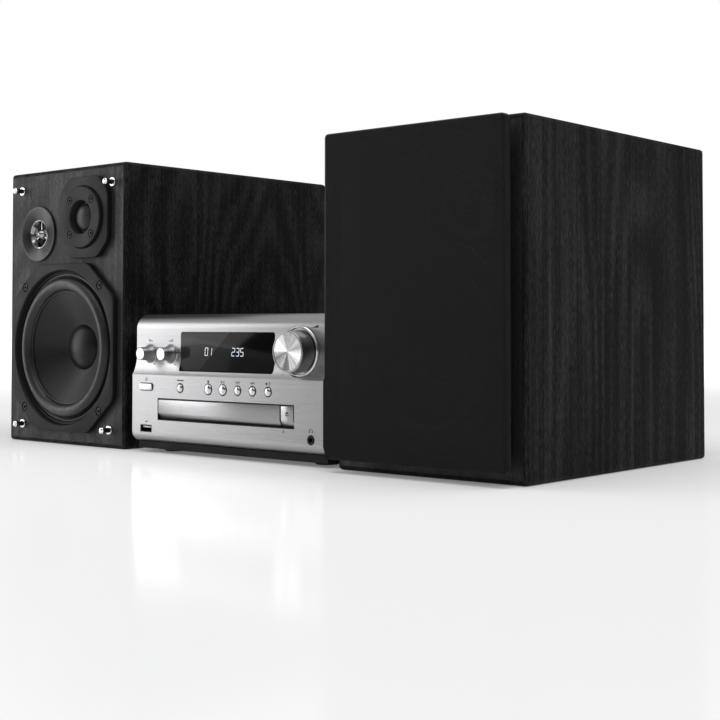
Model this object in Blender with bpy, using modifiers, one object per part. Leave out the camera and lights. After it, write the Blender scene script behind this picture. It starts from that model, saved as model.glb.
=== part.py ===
"""Mini hifi system: a disc receiver standing between two three-way bookshelf speakers.

Units are metres, +Z is up and the fronts face -Y. X is zero at the middle of the whole set, Z is zero
on the shelf, and Y is zero halfway between the grille's face and the speakers' rearmost point.
Lengths below are in millimetres times MM. "Forward" is a distance in front of the baffle's face.
"""

import math

import bmesh
import bpy
from mathutils import Matrix

MM = 0.001
GAP = 0.3 * MM  # between pieces that touch

# Speaker cabinets
CABINET_WIDTH = 161 * MM
CABINET_HEIGHT = 238 * MM
CABINET_DEPTH = 244 * MM
CABINET_WALL = 12 * MM
CABINET_LIP = 3.2 * MM  # the wrap's rim around the baffle
CABINET_ROUND = 2.6 * MM
BAFFLE_THICK = 15 * MM
CABINET_X = {"left": -201 * MM, "right": 196.4 * MM}  # from the receiver's middle
RECEIVER_X = 2.3 * MM  # from the set's middle to the receiver's
REAR_PROUD = 2 * MM  # the rear fittings stand this far behind the cabinet

# Grille
GRILLE_WIDTH = 153.4 * MM
GRILLE_HEIGHT = 227 * MM
GRILLE_BOTTOM = 9 * MM
GRILLE_THICK = 9.3 * MM
GRILLE_STANDOFF = 10 * MM
GRILLE_SKIN = 1.3 * MM
GRILLE_RIM = 8 * MM
GRILLE_GUSSET = 26 * MM
GRILLE_ROUND = 3 * MM

# The baffle's face, so that the whole set is centred on Y
FRONTMOST = GRILLE_STANDOFF + GRILLE_THICK
BAFFLE_Y = FRONTMOST - (FRONTMOST + CABINET_DEPTH + REAR_PROUD) / 2

# Drive units: places are sideways from the cabinet's middle and up from the shelf
WOOFER_Z = 83.2 * MM
WOOFER_FRAME = (141 * MM, 144 * MM)
WOOFER_CHAMFER = (35 * MM, 29.5 * MM)
WOOFER_PROUD = 4.5 * MM
WOOFER_MOUTH = 67 * MM  # radius at the frame's face
WOOFER_SEAT = 63.5 * MM  # radius of the ledge that holds the surround
WOOFER_HOLE = 65.3 * MM
SURROUND_INNER = 48.9 * MM
CONE_RADIUS = 48.5 * MM
DUST_CAP_RADIUS = 20 * MM
COIL_RADIUS = 16.5 * MM
TWEETER_X = 29.2 * MM
TWEETER_Z = 194 * MM
TWEETER_FRAME = (66 * MM, 69 * MM)
TWEETER_CHAMFER = (14 * MM, 14 * MM)
TWEETER_PROUD = 4.6 * MM
TWEETER_HOLE = 24.8 * MM
SUPER_X = 38.5 * MM
SUPER_Z = 182.7 * MM
SUPER_RADIUS = 24.3 * MM
SUPER_HOLE = 17.8 * MM
PEGS = ((63.4 * MM, 222 * MM), (60.7 * MM, 15.2 * MM))
PORT_Z = 188 * MM
PORT_RADIUS = 17.5 * MM
PORT_LENGTH = 90 * MM
TERMINAL_Z = 78 * MM
TERMINAL_PLATE = (84 * MM, 56 * MM)
TERMINAL_CUP = (58 * MM, 34 * MM)
TERMINAL_DEPTH = 20 * MM
POST_SPACING = 30 * MM

# Receiver casing
UNIT_WIDTH = 211 * MM
UNIT_TOP = 111 * MM
PANEL_BOTTOM = 9 * MM
PANEL_BACK = 18 * MM  # behind the baffle's face
PANEL_WALL = 3 * MM
LOWER_FACE = 4 * MM  # forward
UPPER_FACE = -0.5 * MM  # forward
CREASE_Z = 62.5 * MM
COVE_TOP = 78 * MM
UPPER_TOP = 99 * MM
BOTTOM_ROUND = 8 * MM
CASE_HALF = 104.5 * MM
CASE_SHEET = 1.2 * MM
CASE_BACK = 229.7 * MM
PLATE_BACK = 232 * MM
PAN_BOTTOM = 3 * MM
PAN_TOP = 8.7 * MM
PAN_FRONT = 2 * MM
PAN_WALL = 1.5 * MM
FLOOR_Z = PAN_BOTTOM + PAN_WALL + GAP  # what stands on the pan starts here
FOOT_RADIUS = 9 * MM
FOOT_X = 84 * MM
FOOT_Y = (24 * MM, 208 * MM)
VENT_COUNT = 12

# Receiver front, x from the receiver's middle
ROW_Z = 52.9 * MM
POWER = (-88 * MM, 15 * MM, 5 * MM)
ROUND_BUTTONS = {
    "selector_button": (-47.3 * MM, 3.2 * MM),
    "stop_button": (-14.9 * MM, 3.8 * MM),
    "play_button": (1.4 * MM, 3.8 * MM),
    "previous_button": (17.7 * MM, 3.2 * MM),
    "next_button": (33.7 * MM, 3.2 * MM),
    "pairing_button": (50 * MM, 3.2 * MM),
}
BUTTON_PROUD = 1.2 * MM
VOLUME = (79.3 * MM, 83.2 * MM)
VOLUME_RADIUS = 15.3 * MM
VOLUME_FACE = 14 * MM
COLLAR_RADIUS = 18.8 * MM
TONES = {"bass_knob": -88.4 * MM, "treble_knob": -63.5 * MM}
TONE_Z = 79.5 * MM
TONE_FACE = 10.8 * MM
TONE_SEAT = 7.9 * MM  # radius of the flat round seat behind a tone knob
SHAFT_RADIUS = 3 * MM
WINDOW = ((-51.5 * MM, 66.3 * MM), (52.5 * MM, 96.8 * MM))
USB = ((-95.1 * MM, 16.9 * MM), (-81.7 * MM, 22.2 * MM))
JACK = (93.5 * MM, 19.8 * MM)
JACK_HOLE = 3.6 * MM

# Disc loader
SLOT = ((-73.7 * MM, 27.5 * MM), (76.3 * MM, 43.5 * MM))
TRAY_SPLIT = 62.7 * MM
TRAY_LIP_Z = 32.5 * MM
TRAY_LEFT = -71 * MM
TRAY_RIGHT = 59.7 * MM
TRAY_BOTTOM = 29.5 * MM
TRAY_TOP = 33.6 * MM
TRAY_FRONT = 1.8 * MM
TRAY_BACK = 168 * MM
DISC_RADIUS = 61 * MM
DISC_X = (TRAY_LEFT + TRAY_RIGHT) / 2
DISC_Y = 67 * MM
DISC_FLOOR = 32 * MM
TRAY_SLOT = 34 * MM
MODULE = 1.5 * MM
TEETH = 12
GEAR_RADIUS = MODULE * TEETH / 2
TOOTH_TIP = 0.8 * MODULE
TOOTH_ROOT = 1.0 * MODULE
PRESSURE = math.radians(25)
BACKLASH = 0.35 * MM
GEAR_Y = 30 * MM
RACK_TEETH = 29
DECK = ((-78 * MM, 22 * MM), (82 * MM, 176 * MM))
DECK_Z = (12 * MM, 17 * MM)
TRAVERSE = ((-30 * MM, 46 * MM), (30 * MM, 150 * MM))
BRIDGE_Z = (44 * MM, 46 * MM)

# Number of steps round a turned piece
COARSE, MEDIUM, FINE = 12, 20, 30


def clear_scene():
    for item in list(bpy.data.objects):
        bpy.data.objects.remove(item, do_unlink=True)


def new_collection(name):
    made = bpy.data.collections.new(name)
    bpy.context.scene.collection.children.link(made)
    return made


clear_scene()
PARTS = new_collection("mini_hifi_system")
CUTTERS = new_collection("cutters")


# ---------------------------------------------------------------- helpers


def at(x, forward, z):
    """A place given from the receiver's middle, the baffle's face and the shelf."""
    return (RECEIVER_X + x, BAFFLE_Y - forward, z)


def behind(x, back, z):
    """The same, by how far it is behind the baffle's face."""
    return (RECEIVER_X + x, BAFFLE_Y + back, z)


def new_object(name, mesh, place):
    made = bpy.data.objects.new(name, mesh)
    made.location = place
    PARTS.objects.link(made)
    return made


def box(name, low, high):
    """A block between two corners, each (x, distance behind the baffle's face, z)."""
    size = [b - a for a, b in zip(low, high)]
    middle = [(a + b) / 2 for a, b in zip(low, high)]
    mesh = bpy.data.meshes.new(name)
    work = bmesh.new()
    bmesh.ops.create_cube(work, size=1.0, matrix=Matrix.Diagonal((*size, 1.0)))
    work.to_mesh(mesh)
    work.free()
    return new_object(name, mesh, behind(*middle))


def turned(name, profile, place, steps=MEDIUM, facing="front", closed=False):
    """A turned piece. The profile is (radius, distance along the axis), down its outer side."""
    mesh = bpy.data.meshes.new(name)
    work = bmesh.new()
    points = [work.verts.new((radius, 0.0, along)) for radius, along in profile]
    for first, second in zip(points, points[1:]):
        work.edges.new((first, second))
    if closed:
        work.edges.new((points[-1], points[0]))
    work.to_mesh(mesh)
    work.free()
    made = new_object(name, mesh, place)
    made.rotation_euler = {"front": (math.pi / 2, 0, 0), "back": (-math.pi / 2, 0, 0), "up": (0, 0, 0)}[facing]
    screw = made.modifiers.new("turn", "SCREW")
    screw.steps = steps
    screw.render_steps = steps
    screw.use_merge_vertices = True
    screw.merge_threshold = 0.00001
    screw.use_smooth_shade = True
    return made


def outline(name, points, thickness, place, plane="front"):
    """A flat outline made thick, half to each side of its place."""
    curve = bpy.data.curves.new(name, "CURVE")
    curve.dimensions = "2D"
    curve.fill_mode = "BOTH"
    curve.extrude = thickness / 2
    spline = curve.splines.new("POLY")
    spline.points.add(len(points) - 1)
    for slot, (u, v) in zip(spline.points, points):
        slot.co = (u, v, 0.0, 1.0)
    spline.use_cyclic_u = True
    flat = bpy.data.objects.new(name, curve)
    CUTTERS.objects.link(flat)
    bpy.context.view_layer.update()
    mesh = bpy.data.meshes.new_from_object(flat.evaluated_get(bpy.context.evaluated_depsgraph_get()))
    bpy.data.objects.remove(flat)
    work = bmesh.new()
    work.from_mesh(mesh)
    bmesh.ops.remove_doubles(work, verts=work.verts, dist=0.00001)
    bmesh.ops.recalc_face_normals(work, faces=work.faces)
    work.to_mesh(mesh)
    work.free()
    made = new_object(name, mesh, place)
    turn = {"front": (math.pi / 2, 0, 0), "side": (math.pi / 2, 0, math.pi / 2), "top": (0, 0, 0)}
    made.rotation_euler = turn[plane]
    return made


def combine(target, tool, operation):
    step = target.modifiers.new(tool.name, "BOOLEAN")
    step.operation = operation
    step.object = tool
    PARTS.objects.unlink(tool)
    CUTTERS.objects.link(tool)
    tool.hide_render = True
    tool.display_type = "WIRE"


def cut(target, *tools):
    for tool in tools:
        combine(target, tool, "DIFFERENCE")


def join(target, *tools):
    for tool in tools:
        combine(target, tool, "UNION")


def soften(piece, width, segments=2):
    bevel = piece.modifiers.new("soften", "BEVEL")
    bevel.width = width
    bevel.segments = segments
    bevel.limit_method = "ANGLE"


def finish(piece, colour, roughness, metallic=0.0):
    """Gives a piece its own material."""
    made = bpy.data.materials.new(piece.name)
    made.use_nodes = True
    shader = made.node_tree.nodes["Principled BSDF"]
    shader.inputs["Base Color"].default_value = (*colour, 1.0)
    shader.inputs["Roughness"].default_value = roughness
    shader.inputs["Metallic"].default_value = metallic
    piece.data.materials.clear()
    piece.data.materials.append(made)


def arc(centre, radius, start, end, steps):
    """Points on an arc, angles in degrees."""
    angles = [math.radians(start + (end - start) * i / steps) for i in range(steps + 1)]
    return [(centre[0] + radius * math.cos(a), centre[1] + radius * math.sin(a)) for a in angles]


def octagon(size, chamfer):
    half_w, half_h = size[0] / 2, size[1] / 2
    in_w, in_h = half_w - chamfer[0], half_h - chamfer[1]
    return [
        (half_w, -in_h), (half_w, in_h), (in_w, half_h), (-in_w, half_h),
        (-half_w, in_h), (-half_w, -in_h), (-in_w, -half_h), (in_w, -half_h),
    ]


def rounded(size, radius, steps=3):
    """The outline of a rectangle with round corners."""
    x, y = size[0] / 2 - radius, size[1] / 2 - radius
    points = []
    for quarter, (cx, cy) in enumerate(((x, y), (-x, y), (-x, -y), (x, -y))):
        points += arc((cx, cy), radius, 90 * quarter, 90 * quarter + 90, steps)
    return points


def rod(name, radius, front, back, place, steps=MEDIUM):
    """A plain round bar from one forward distance to another."""
    return turned(name, [(0, front), (radius, front), (radius, back), (0, back)], place, steps)


# ---------------------------------------------------------------- speakers


def cabinet(side, x):
    half, top = CABINET_WIDTH / 2, CABINET_HEIGHT
    shell = box(f"{side}_cabinet", (x - half, 0, 0), (x + half, CABINET_DEPTH, top))
    soften(shell, CABINET_ROUND)
    wall, lip = CABINET_WALL, CABINET_LIP
    inside = box(
        f"{side}_cabinet_inside",
        (x - half + wall, BAFFLE_THICK - wall, wall),
        (x + half - wall, CABINET_DEPTH - wall, top - wall),
    )
    rebate = box(f"{side}_rebate", (x - half + lip, -wall, lip), (x + half - lip, BAFFLE_THICK + GAP, top - lip))
    cup = [length + 4 * MM + 2 * GAP for length in TERMINAL_CUP]
    cup_hole = box(
        f"{side}_cup_hole",
        (x - cup[0] / 2, CABINET_DEPTH - 2 * wall, TERMINAL_Z - cup[1] / 2),
        (x + cup[0] / 2, CABINET_DEPTH + wall, TERMINAL_Z + cup[1] / 2),
    )
    port_hole = rod(f"{side}_port_hole", PORT_RADIUS + 3.3 * MM, 2 * wall, -wall,
                    behind(x, CABINET_DEPTH, PORT_Z))
    cut(shell, inside, rebate, cup_hole, port_hole)
    finish(shell, (0.018, 0.018, 0.019), 0.45)


def peg(name, place):
    """A grille peg: base ring, stem and steel tip."""
    profile = [(0, 9.7), (2.7, 9.7), (2.7, 7.8), (2.2, 7.4), (2.2, 1.2), (3.8, 1.2), (3.8, -1), (0, -1)]
    return turned(name, [(r * MM, h * MM) for r, h in profile], place, COARSE)


def front_baffle(side, x, inward):
    inset = CABINET_LIP + GAP
    half = CABINET_WIDTH / 2 - inset
    board = box(f"{side}_front_baffle", (x - half, 0, inset), (x + half, BAFFLE_THICK, CABINET_HEIGHT - inset))
    holes = (
        ("woofer_hole", 0, WOOFER_Z, WOOFER_HOLE),
        ("tweeter_hole", inward * TWEETER_X, TWEETER_Z, TWEETER_HOLE),
        ("super_hole", -inward * SUPER_X, SUPER_Z, SUPER_HOLE),
    )
    for name, sideways, z, radius in holes:
        cut(board, rod(f"{side}_{name}", radius, BAFFLE_THICK, -2 * BAFFLE_THICK, at(x + sideways, 0, z), FINE))
    for offset, z in PEGS:
        for hand in (-1, 1):
            join(board, peg(f"{side}_peg_{z:.3f}_{hand}", at(x + hand * offset, 0, z)))
    finish(board, (0.02, 0.02, 0.021), 0.4)


def woofer_basket(side, x):
    place = at(x, (WOOFER_PROUD + GAP) / 2, WOOFER_Z)
    frame = outline(f"{side}_woofer_basket", octagon(WOOFER_FRAME, WOOFER_CHAMFER), WOOFER_PROUD - GAP, place)
    centre = at(x, 0, WOOFER_Z)
    mouth = [
        (0, 9 * MM), (WOOFER_MOUTH, 9 * MM), (WOOFER_MOUTH, 3.8 * MM),
        (WOOFER_SEAT, 1 * MM), (WOOFER_SEAT, -3 * MM), (0, -3 * MM),
    ]
    spider = [
        (64.6, 0.9), (64.6, -12), (41, -42), (24, -46.2), (18.5, -46.2),
        (18.5, -44), (38, -40), (58.5, -12), (58.5, -2), (63.5, -2), (63.5, 0.9),
    ]
    cut(frame, turned(f"{side}_woofer_mouth", mouth, centre, FINE))
    join(frame, turned(f"{side}_spider", [(r * MM, h * MM) for r, h in spider], centre, FINE, closed=True))
    finish(frame, (0.02, 0.02, 0.021), 0.5)


def woofer_surround(side, x):
    """The rubber roll between the basket and the cone."""
    low = -1.7 * MM
    roll = arc((54.6 * MM, low), 5.6 * MM, 180, 0, 7)
    profile = [(SURROUND_INNER, low), (SURROUND_INNER, low + 1 * MM)] + roll[1:-1]
    profile += [(WOOFER_SEAT - GAP, low + 1 * MM), (WOOFER_SEAT - GAP, low)]
    ring = turned(f"{side}_woofer_surround", profile, at(x, 0, WOOFER_Z), FINE, closed=True)
    finish(ring, (0.015, 0.015, 0.015), 0.35)


def woofer_cone(side, x):
    """Cone, dust cap and voice coil, which move together."""
    cap_rise, cap_rim = 7 * MM, -20 * MM
    cap = [
        (DUST_CAP_RADIUS * math.sin(a), cap_rim + cap_rise * math.cos(a))
        for a in [math.radians(22.5 * i) for i in range(5)]
    ]
    rest = [
        (CONE_RADIUS, -1.2 * MM), (CONE_RADIUS, -2.6 * MM), (DUST_CAP_RADIUS, -24 * MM),
        (COIL_RADIUS, -24 * MM), (COIL_RADIUS, -52 * MM), (0, -52 * MM),
    ]
    cone = turned(f"{side}_woofer_cone", cap + rest, at(x, 0, WOOFER_Z), FINE)
    finish(cone, (0.02, 0.02, 0.022), 0.55)


def woofer_magnet(side, x):
    profile = [(0, -60), (18, -60), (18, -46.5), (42, -46.5), (42, -66), (0, -66)]
    magnet = turned(f"{side}_woofer_magnet", [(r * MM, h * MM) for r, h in profile], at(x, 0, WOOFER_Z))
    finish(magnet, (0.06, 0.06, 0.065), 0.4, 0.6)


def tweeter(side, x):
    place = at(x, (TWEETER_PROUD + GAP) / 2, TWEETER_Z)
    frame = outline(f"{side}_tweeter", octagon(TWEETER_FRAME, TWEETER_CHAMFER), TWEETER_PROUD - GAP, place)
    dome = [(11.8 * math.sin(a), 1 + 5.4 * math.cos(a)) for a in [math.radians(22.5 * i) for i in range(5)]]
    plate = [(13.4, 1), (14.4, 7.2), (25.4, 7.2), (26, 6.6), (26, 2), (24, 2), (24, -18), (0, -18)]
    motor = turned(f"{side}_tweeter_motor", [(r * MM, h * MM) for r, h in dome + plate], at(x, 0, TWEETER_Z))
    cut(frame, rod(f"{side}_tweeter_opening", 20 * MM, 9 * MM, -5 * MM, at(x, 0, TWEETER_Z)))
    join(frame, motor)
    finish(frame, (0.02, 0.02, 0.021), 0.5)


def super_tweeter(side, x):
    profile = [
        (0, 1), (2.2, 0.2), (4.6, -3), (5, -6), (8.5, -6), (11.8, -0.6), (12.6, 0.6),
        (23.4, 1.8), (24.3, 1.2), (24.3, 0.3), (17.2, 0.3), (17.2, -16), (0, -16),
    ]
    unit = turned(f"{side}_super_tweeter", [(r * MM, h * MM) for r, h in profile], at(x, 0, SUPER_Z))
    finish(unit, (0.012, 0.012, 0.013), 0.15)


def port_tube(side, x):
    """The bass port, flared at the rear."""
    r = PORT_RADIUS / MM
    length = PORT_LENGTH / MM
    profile = [
        (r + 6, 2), (r + 9.5, 1.2), (r + 9.5, 0.3), (r + 2.8, 0.3),
        (r + 2.8, -length), (r, -length), (r, -8), (r + 2, -2),
    ]
    place = behind(x, CABINET_DEPTH, PORT_Z)
    tube = turned(f"{side}_port_tube", [(a * MM, b * MM) for a, b in profile], place, MEDIUM, "back", True)
    finish(tube, (0.02, 0.02, 0.02), 0.4)


def terminal_plate(side, x):
    """A plate and a sunken cup with two binding posts."""
    cup = [length / 2 for length in TERMINAL_CUP]
    plate = [length / 2 for length in TERMINAL_PLATE]
    skin = 2 * MM
    back = CABINET_DEPTH
    body = box(f"{side}_terminal_plate", (x - plate[0], back + GAP, TERMINAL_Z - plate[1]),
               (x + plate[0], back + REAR_PROUD, TERMINAL_Z + plate[1]))
    shell = box(f"{side}_cup_shell", (x - cup[0] - skin, back - TERMINAL_DEPTH - skin, TERMINAL_Z - cup[1] - skin),
                (x + cup[0] + skin, back + REAR_PROUD - GAP, TERMINAL_Z + cup[1] + skin))
    hollow = box(f"{side}_cup_hollow", (x - cup[0], back - TERMINAL_DEPTH, TERMINAL_Z - cup[1]),
                 (x + cup[0], back + skin * 2, TERMINAL_Z + cup[1]))
    join(body, shell)
    cut(body, hollow)
    for hand in (-1, 1):
        profile = [(0, 19), (5.5, 19), (5.5, 7), (3.2, 7), (3.2, -1), (0, -1)]
        place = behind(x + hand * POST_SPACING / 2, back - TERMINAL_DEPTH, TERMINAL_Z)
        join(body, turned(f"{side}_post_{hand}", [(r * MM, h * MM) for r, h in profile], place, COARSE, "back"))
    finish(body, (0.02, 0.02, 0.02), 0.45)


def grille(side, x):
    """A frame with its cloth, hollow at the back, with gussets where the pegs meet it."""
    low, high = GRILLE_BOTTOM, GRILLE_BOTTOM + GRILLE_HEIGHT
    half = GRILLE_WIDTH / 2
    body = box(f"{side}_grille", (x - half, -FRONTMOST, low), (x + half, -GRILLE_STANDOFF, high))
    soften(body, GRILLE_ROUND)
    size = (GRILLE_WIDTH - 2 * GRILLE_RIM, GRILLE_HEIGHT - 2 * GRILLE_RIM)
    deep = GRILLE_THICK - GRILLE_SKIN
    middle = GRILLE_STANDOFF + deep / 2 - 1 * MM
    hollow = outline(f"{side}_grille_hollow", octagon(size, (GRILLE_GUSSET, GRILLE_GUSSET)), deep + 2 * MM,
                     at(x, middle, (low + high) / 2))
    cut(body, hollow)
    finish(body, (0.012, 0.012, 0.012), 0.9)


def build_speaker(side, hand):
    """hand is -1 for the left speaker and 1 for the right one; the two are mirror images."""
    x = CABINET_X[side]
    inward = -hand
    cabinet(side, x)
    front_baffle(side, x, inward)
    woofer_basket(side, x)
    woofer_surround(side, x)
    woofer_cone(side, x)
    woofer_magnet(side, x)
    tweeter(side, x + inward * TWEETER_X)
    super_tweeter(side, x - inward * SUPER_X)
    port_tube(side, x)
    terminal_plate(side, x)


# ---------------------------------------------------------------- receiver casing


def panel_profile():
    """The front panel from the side, as (distance behind the baffle's face, z)."""
    low, high = -LOWER_FACE, -UPPER_FACE
    rise = COVE_TOP - CREASE_Z
    step = high - low
    cove = (rise * rise + step * step) / (2 * step)
    sweep = math.degrees(math.asin(rise / cove))
    top_round = UNIT_TOP - UPPER_TOP
    points = [(PANEL_BACK, PANEL_BOTTOM)]
    points += arc((low + BOTTOM_ROUND, PANEL_BOTTOM + BOTTOM_ROUND), BOTTOM_ROUND, 270, 180, 5)
    points += arc((high - cove, COVE_TOP), cove, -sweep, 0, 5)
    points += arc((high + top_round, UPPER_TOP), top_round, 180, 90, 6)
    points.append((PANEL_BACK, UNIT_TOP))
    return points


def hole_through(name, low, high, radius=0.4 * MM, front=30 * MM, back=8 * MM):
    """A cutter with round corners through the front panel, from (x, z) to (x, z)."""
    size = (high[0] - low[0], high[1] - low[1])
    middle = ((low[0] + high[0]) / 2, (low[1] + high[1]) / 2)
    place = at(middle[0], (front - back) / 2, middle[1])
    return outline(name, rounded(size, radius), front + back, place)


def grown(area, by):
    (x0, z0), (x1, z1) = area
    return (x0 - by, z0 - by), (x1 + by, z1 + by)


def front_panel():
    panel = outline("front_panel", panel_profile(), UNIT_WIDTH, behind(0, 0, 0), "side")
    wall = PANEL_WALL
    pocket_points = [
        (PANEL_BACK + wall, PANEL_BOTTOM + wall), (-LOWER_FACE + BOTTOM_ROUND, PANEL_BOTTOM + wall),
        (-LOWER_FACE + wall, PANEL_BOTTOM + BOTTOM_ROUND), (-LOWER_FACE + wall, CREASE_Z - wall),
        (-UPPER_FACE + wall, COVE_TOP - wall), (-UPPER_FACE + wall, UPPER_TOP),
        (-UPPER_FACE + UNIT_TOP - UPPER_TOP, UNIT_TOP - wall), (PANEL_BACK + wall, UNIT_TOP - wall),
    ]
    cut(panel, outline("panel_pocket", pocket_points, UNIT_WIDTH - 2 * wall, behind(0, 0, 0), "side"))
    x, width, height = POWER
    power_area = ((x - width / 2, ROW_Z - height / 2), (x + width / 2, ROW_Z + height / 2))
    cut(panel, hole_through("window_hole", *grown(WINDOW, GAP), radius=2 * MM))
    cut(panel, hole_through("slot_hole", *SLOT))
    cut(panel, hole_through("usb_hole", *grown(USB, GAP)))
    cut(panel, hole_through("power_hole", *grown(power_area, GAP), radius=1.5 * MM))
    for name, (x, radius) in ROUND_BUTTONS.items():
        cut(panel, rod(f"{name}_hole", radius + GAP, 30 * MM, -8 * MM, at(x, 0, ROW_Z), COARSE))
    knobs = [(name, x, TONE_Z, TONE_SEAT) for name, x in TONES.items()]
    knobs.append(("volume", *VOLUME, COLLAR_RADIUS + GAP))
    for name, x, z, seat in knobs:
        cut(panel, rod(f"{name}_seat", seat, 30 * MM, UPPER_FACE, at(x, 0, z), FINE))
        cut(panel, rod(f"{name}_hole", SHAFT_RADIUS + 2 * GAP, 20 * MM, -8 * MM, at(x, 0, z), COARSE))
    cut(panel, rod("jack_hole", JACK_HOLE, 30 * MM, -8 * MM, at(JACK[0], 0, JACK[1]), COARSE))
    finish(panel, (0.62, 0.62, 0.63), 0.3, 0.9)


def base_pan():
    half, wall = CASE_HALF, PAN_WALL
    pan = box("base_pan", (-half, PAN_FRONT + GAP, PAN_BOTTOM), (half, CASE_BACK, PAN_TOP))
    inside = box("pan_inside", (-half + wall, PAN_FRONT + wall, PAN_BOTTOM + wall),
                 (half - wall, CASE_BACK - wall, PAN_TOP + wall))
    cut(pan, inside)
    finish(pan, (0.03, 0.03, 0.03), 0.5, 0.3)


def top_cover():
    """A folded sheet over the top and the sides, with cooling slots."""
    half, sheet = CASE_HALF, CASE_SHEET
    front = PANEL_BACK + GAP
    cover = box("top_cover", (-half, front, PANEL_BOTTOM), (half, CASE_BACK, UNIT_TOP))
    inside = box("cover_inside", (-half + sheet, front - sheet, PANEL_BOTTOM - sheet),
                 (half - sheet, CASE_BACK + sheet, UNIT_TOP - sheet))
    cut(cover, inside)
    pitch, width, length = 7 * MM, 2.6 * MM, 34 * MM
    for i in range(VENT_COUNT):
        x = (i - (VENT_COUNT - 1) / 2) * pitch
        low = (x - width / 2, 178 * MM, UNIT_TOP - 4 * sheet)
        cut(cover, box(f"vent_{i}", low, (x + width / 2, 178 * MM + length, UNIT_TOP + sheet)))
    finish(cover, (0.02, 0.02, 0.021), 0.45, 0.2)


REAR_ITEMS = {
    # name: low (x, z), high (x, z) of the cut-out in the rear panel
    "mains": ((66 * MM, 15 * MM), (92 * MM, 31 * MM)),
    "speaker": ((-34 * MM, 16 * MM), (30 * MM, 40 * MM)),
    "line": ((-92 * MM, 16 * MM), (-48 * MM, 40 * MM)),
}


def rear_panel():
    plate = box("rear_panel", (-CASE_HALF, CASE_BACK + GAP, PAN_BOTTOM), (CASE_HALF, PLATE_BACK, UNIT_TOP))
    for name, area in REAR_ITEMS.items():
        low, high = grown(area, GAP)
        cut(plate, box(f"{name}_opening", (low[0], CASE_BACK - 5 * MM, low[1]),
                       (high[0], PLATE_BACK + 5 * MM, high[1])))
    finish(plate, (0.02, 0.02, 0.021), 0.5, 0.2)


def feet():
    names = {-1: "left", 1: "right"}
    for place, back in zip(("front", "rear"), FOOT_Y):
        for hand, side in names.items():
            top = PAN_BOTTOM - GAP
            profile = [(0, top), (FOOT_RADIUS, top), (FOOT_RADIUS, 1 * MM), (FOOT_RADIUS - 1 * MM, 0), (0, 0)]
            foot = turned(f"foot_{place}_{side}", profile, behind(hand * FOOT_X, back, 0), MEDIUM, "up")
            finish(foot, (0.02, 0.02, 0.02), 0.8)


def window():
    low, high = WINDOW
    size = (high[0] - low[0], high[1] - low[1])
    thick = 3.4 * MM
    place = at((low[0] + high[0]) / 2, -thick / 2, (low[1] + high[1]) / 2)
    pane = outline("display_window", rounded(size, 1.7 * MM), thick, place)
    finish(pane, (0.005, 0.005, 0.006), 0.05)


def front_board():
    """The circuit board behind the controls and the display."""
    board = box("front_board", (-100 * MM, 5 * MM, 46 * MM), (100 * MM, 6.6 * MM, 98 * MM))
    finish(board, (0.02, 0.09, 0.04), 0.5)


# ---------------------------------------------------------------- controls


def volume():
    x, z = VOLUME
    collar_profile = [
        (COLLAR_RADIUS - 1 * MM, 2.4 * MM), (COLLAR_RADIUS, 1.6 * MM), (COLLAR_RADIUS, UPPER_FACE + GAP),
        (VOLUME_RADIUS + 0.8 * MM, UPPER_FACE + GAP), (VOLUME_RADIUS + 0.8 * MM, 1.4 * MM),
    ]
    collar = turned("volume_collar", collar_profile, at(x, 0, z), FINE, closed=True)
    finish(collar, (0.6, 0.6, 0.61), 0.25, 0.9)
    knob_profile = [
        (0, VOLUME_FACE), (VOLUME_RADIUS - 1 * MM, VOLUME_FACE), (VOLUME_RADIUS, VOLUME_FACE - 1 * MM),
        (VOLUME_RADIUS, GAP), (SHAFT_RADIUS, GAP), (SHAFT_RADIUS, -4.6 * MM), (0, -4.6 * MM),
    ]
    knob = turned("volume_knob", knob_profile, at(x, 0, z), FINE)
    finish(knob, (0.7, 0.7, 0.71), 0.25, 1.0)


def tone_knobs():
    profile = [(4.6, 10.8), (5.1, 10.3), (5.3, 6), (6, 3), (7, 0.6), (7, -0.1)]
    for name, x in TONES.items():
        points = [(0, TONE_FACE)] + [(r * MM, h * MM) for r, h in profile]
        points += [(SHAFT_RADIUS, -0.1 * MM), (SHAFT_RADIUS, -4.6 * MM), (0, -4.6 * MM)]
        knob = turned(name, points, at(x, 0, TONE_Z))
        finish(knob, (0.6, 0.6, 0.61), 0.3, 1.0)


def buttons():
    """Each button has a collar behind the panel that keeps it in, and a stem."""
    face = LOWER_FACE + BUTTON_PROUD
    inside = LOWER_FACE - PANEL_WALL - GAP
    flange, stem, flange_back, stem_back = 1.2 * MM, 1.5 * MM, inside - 1 * MM, -3.6 * MM
    for name, (x, radius) in ROUND_BUTTONS.items():
        profile = [
            (0, face), (radius - 0.5 * MM, face), (radius, face - 0.5 * MM), (radius, inside),
            (radius + flange, inside), (radius + flange, flange_back),
            (stem, flange_back), (stem, stem_back), (0, stem_back),
        ]
        finish(turned(name, profile, at(x, 0, ROW_Z), COARSE), (0.6, 0.6, 0.61), 0.2, 0.9)
    x, width, height = POWER
    power = outline("power_button", rounded((width, height), 1.2 * MM), face - flange_back,
                    at(x, (face + flange_back) / 2, ROW_Z))
    plate_size = (width + 2 * flange, height + 2 * flange)
    join(power, outline("power_flange", rounded(plate_size, 1.2 * MM), inside - flange_back,
                        at(x, (inside + flange_back) / 2, ROW_Z)))
    join(power, rod("power_stem", stem, inside, stem_back, at(x, 0, ROW_Z), COARSE))
    finish(power, (0.6, 0.6, 0.61), 0.2, 0.9)


def drawer_profile():
    """The side view shared by the tray's front and the open/close button: upright, then a lip."""
    (_, low), (_, high) = SLOT
    back = TRAY_FRONT - GAP
    return [
        (back, low + GAP), (-1.8 * MM, low + GAP), (-LOWER_FACE, TRAY_LIP_Z),
        (-LOWER_FACE, high - GAP), (back, high - GAP),
    ]


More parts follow.
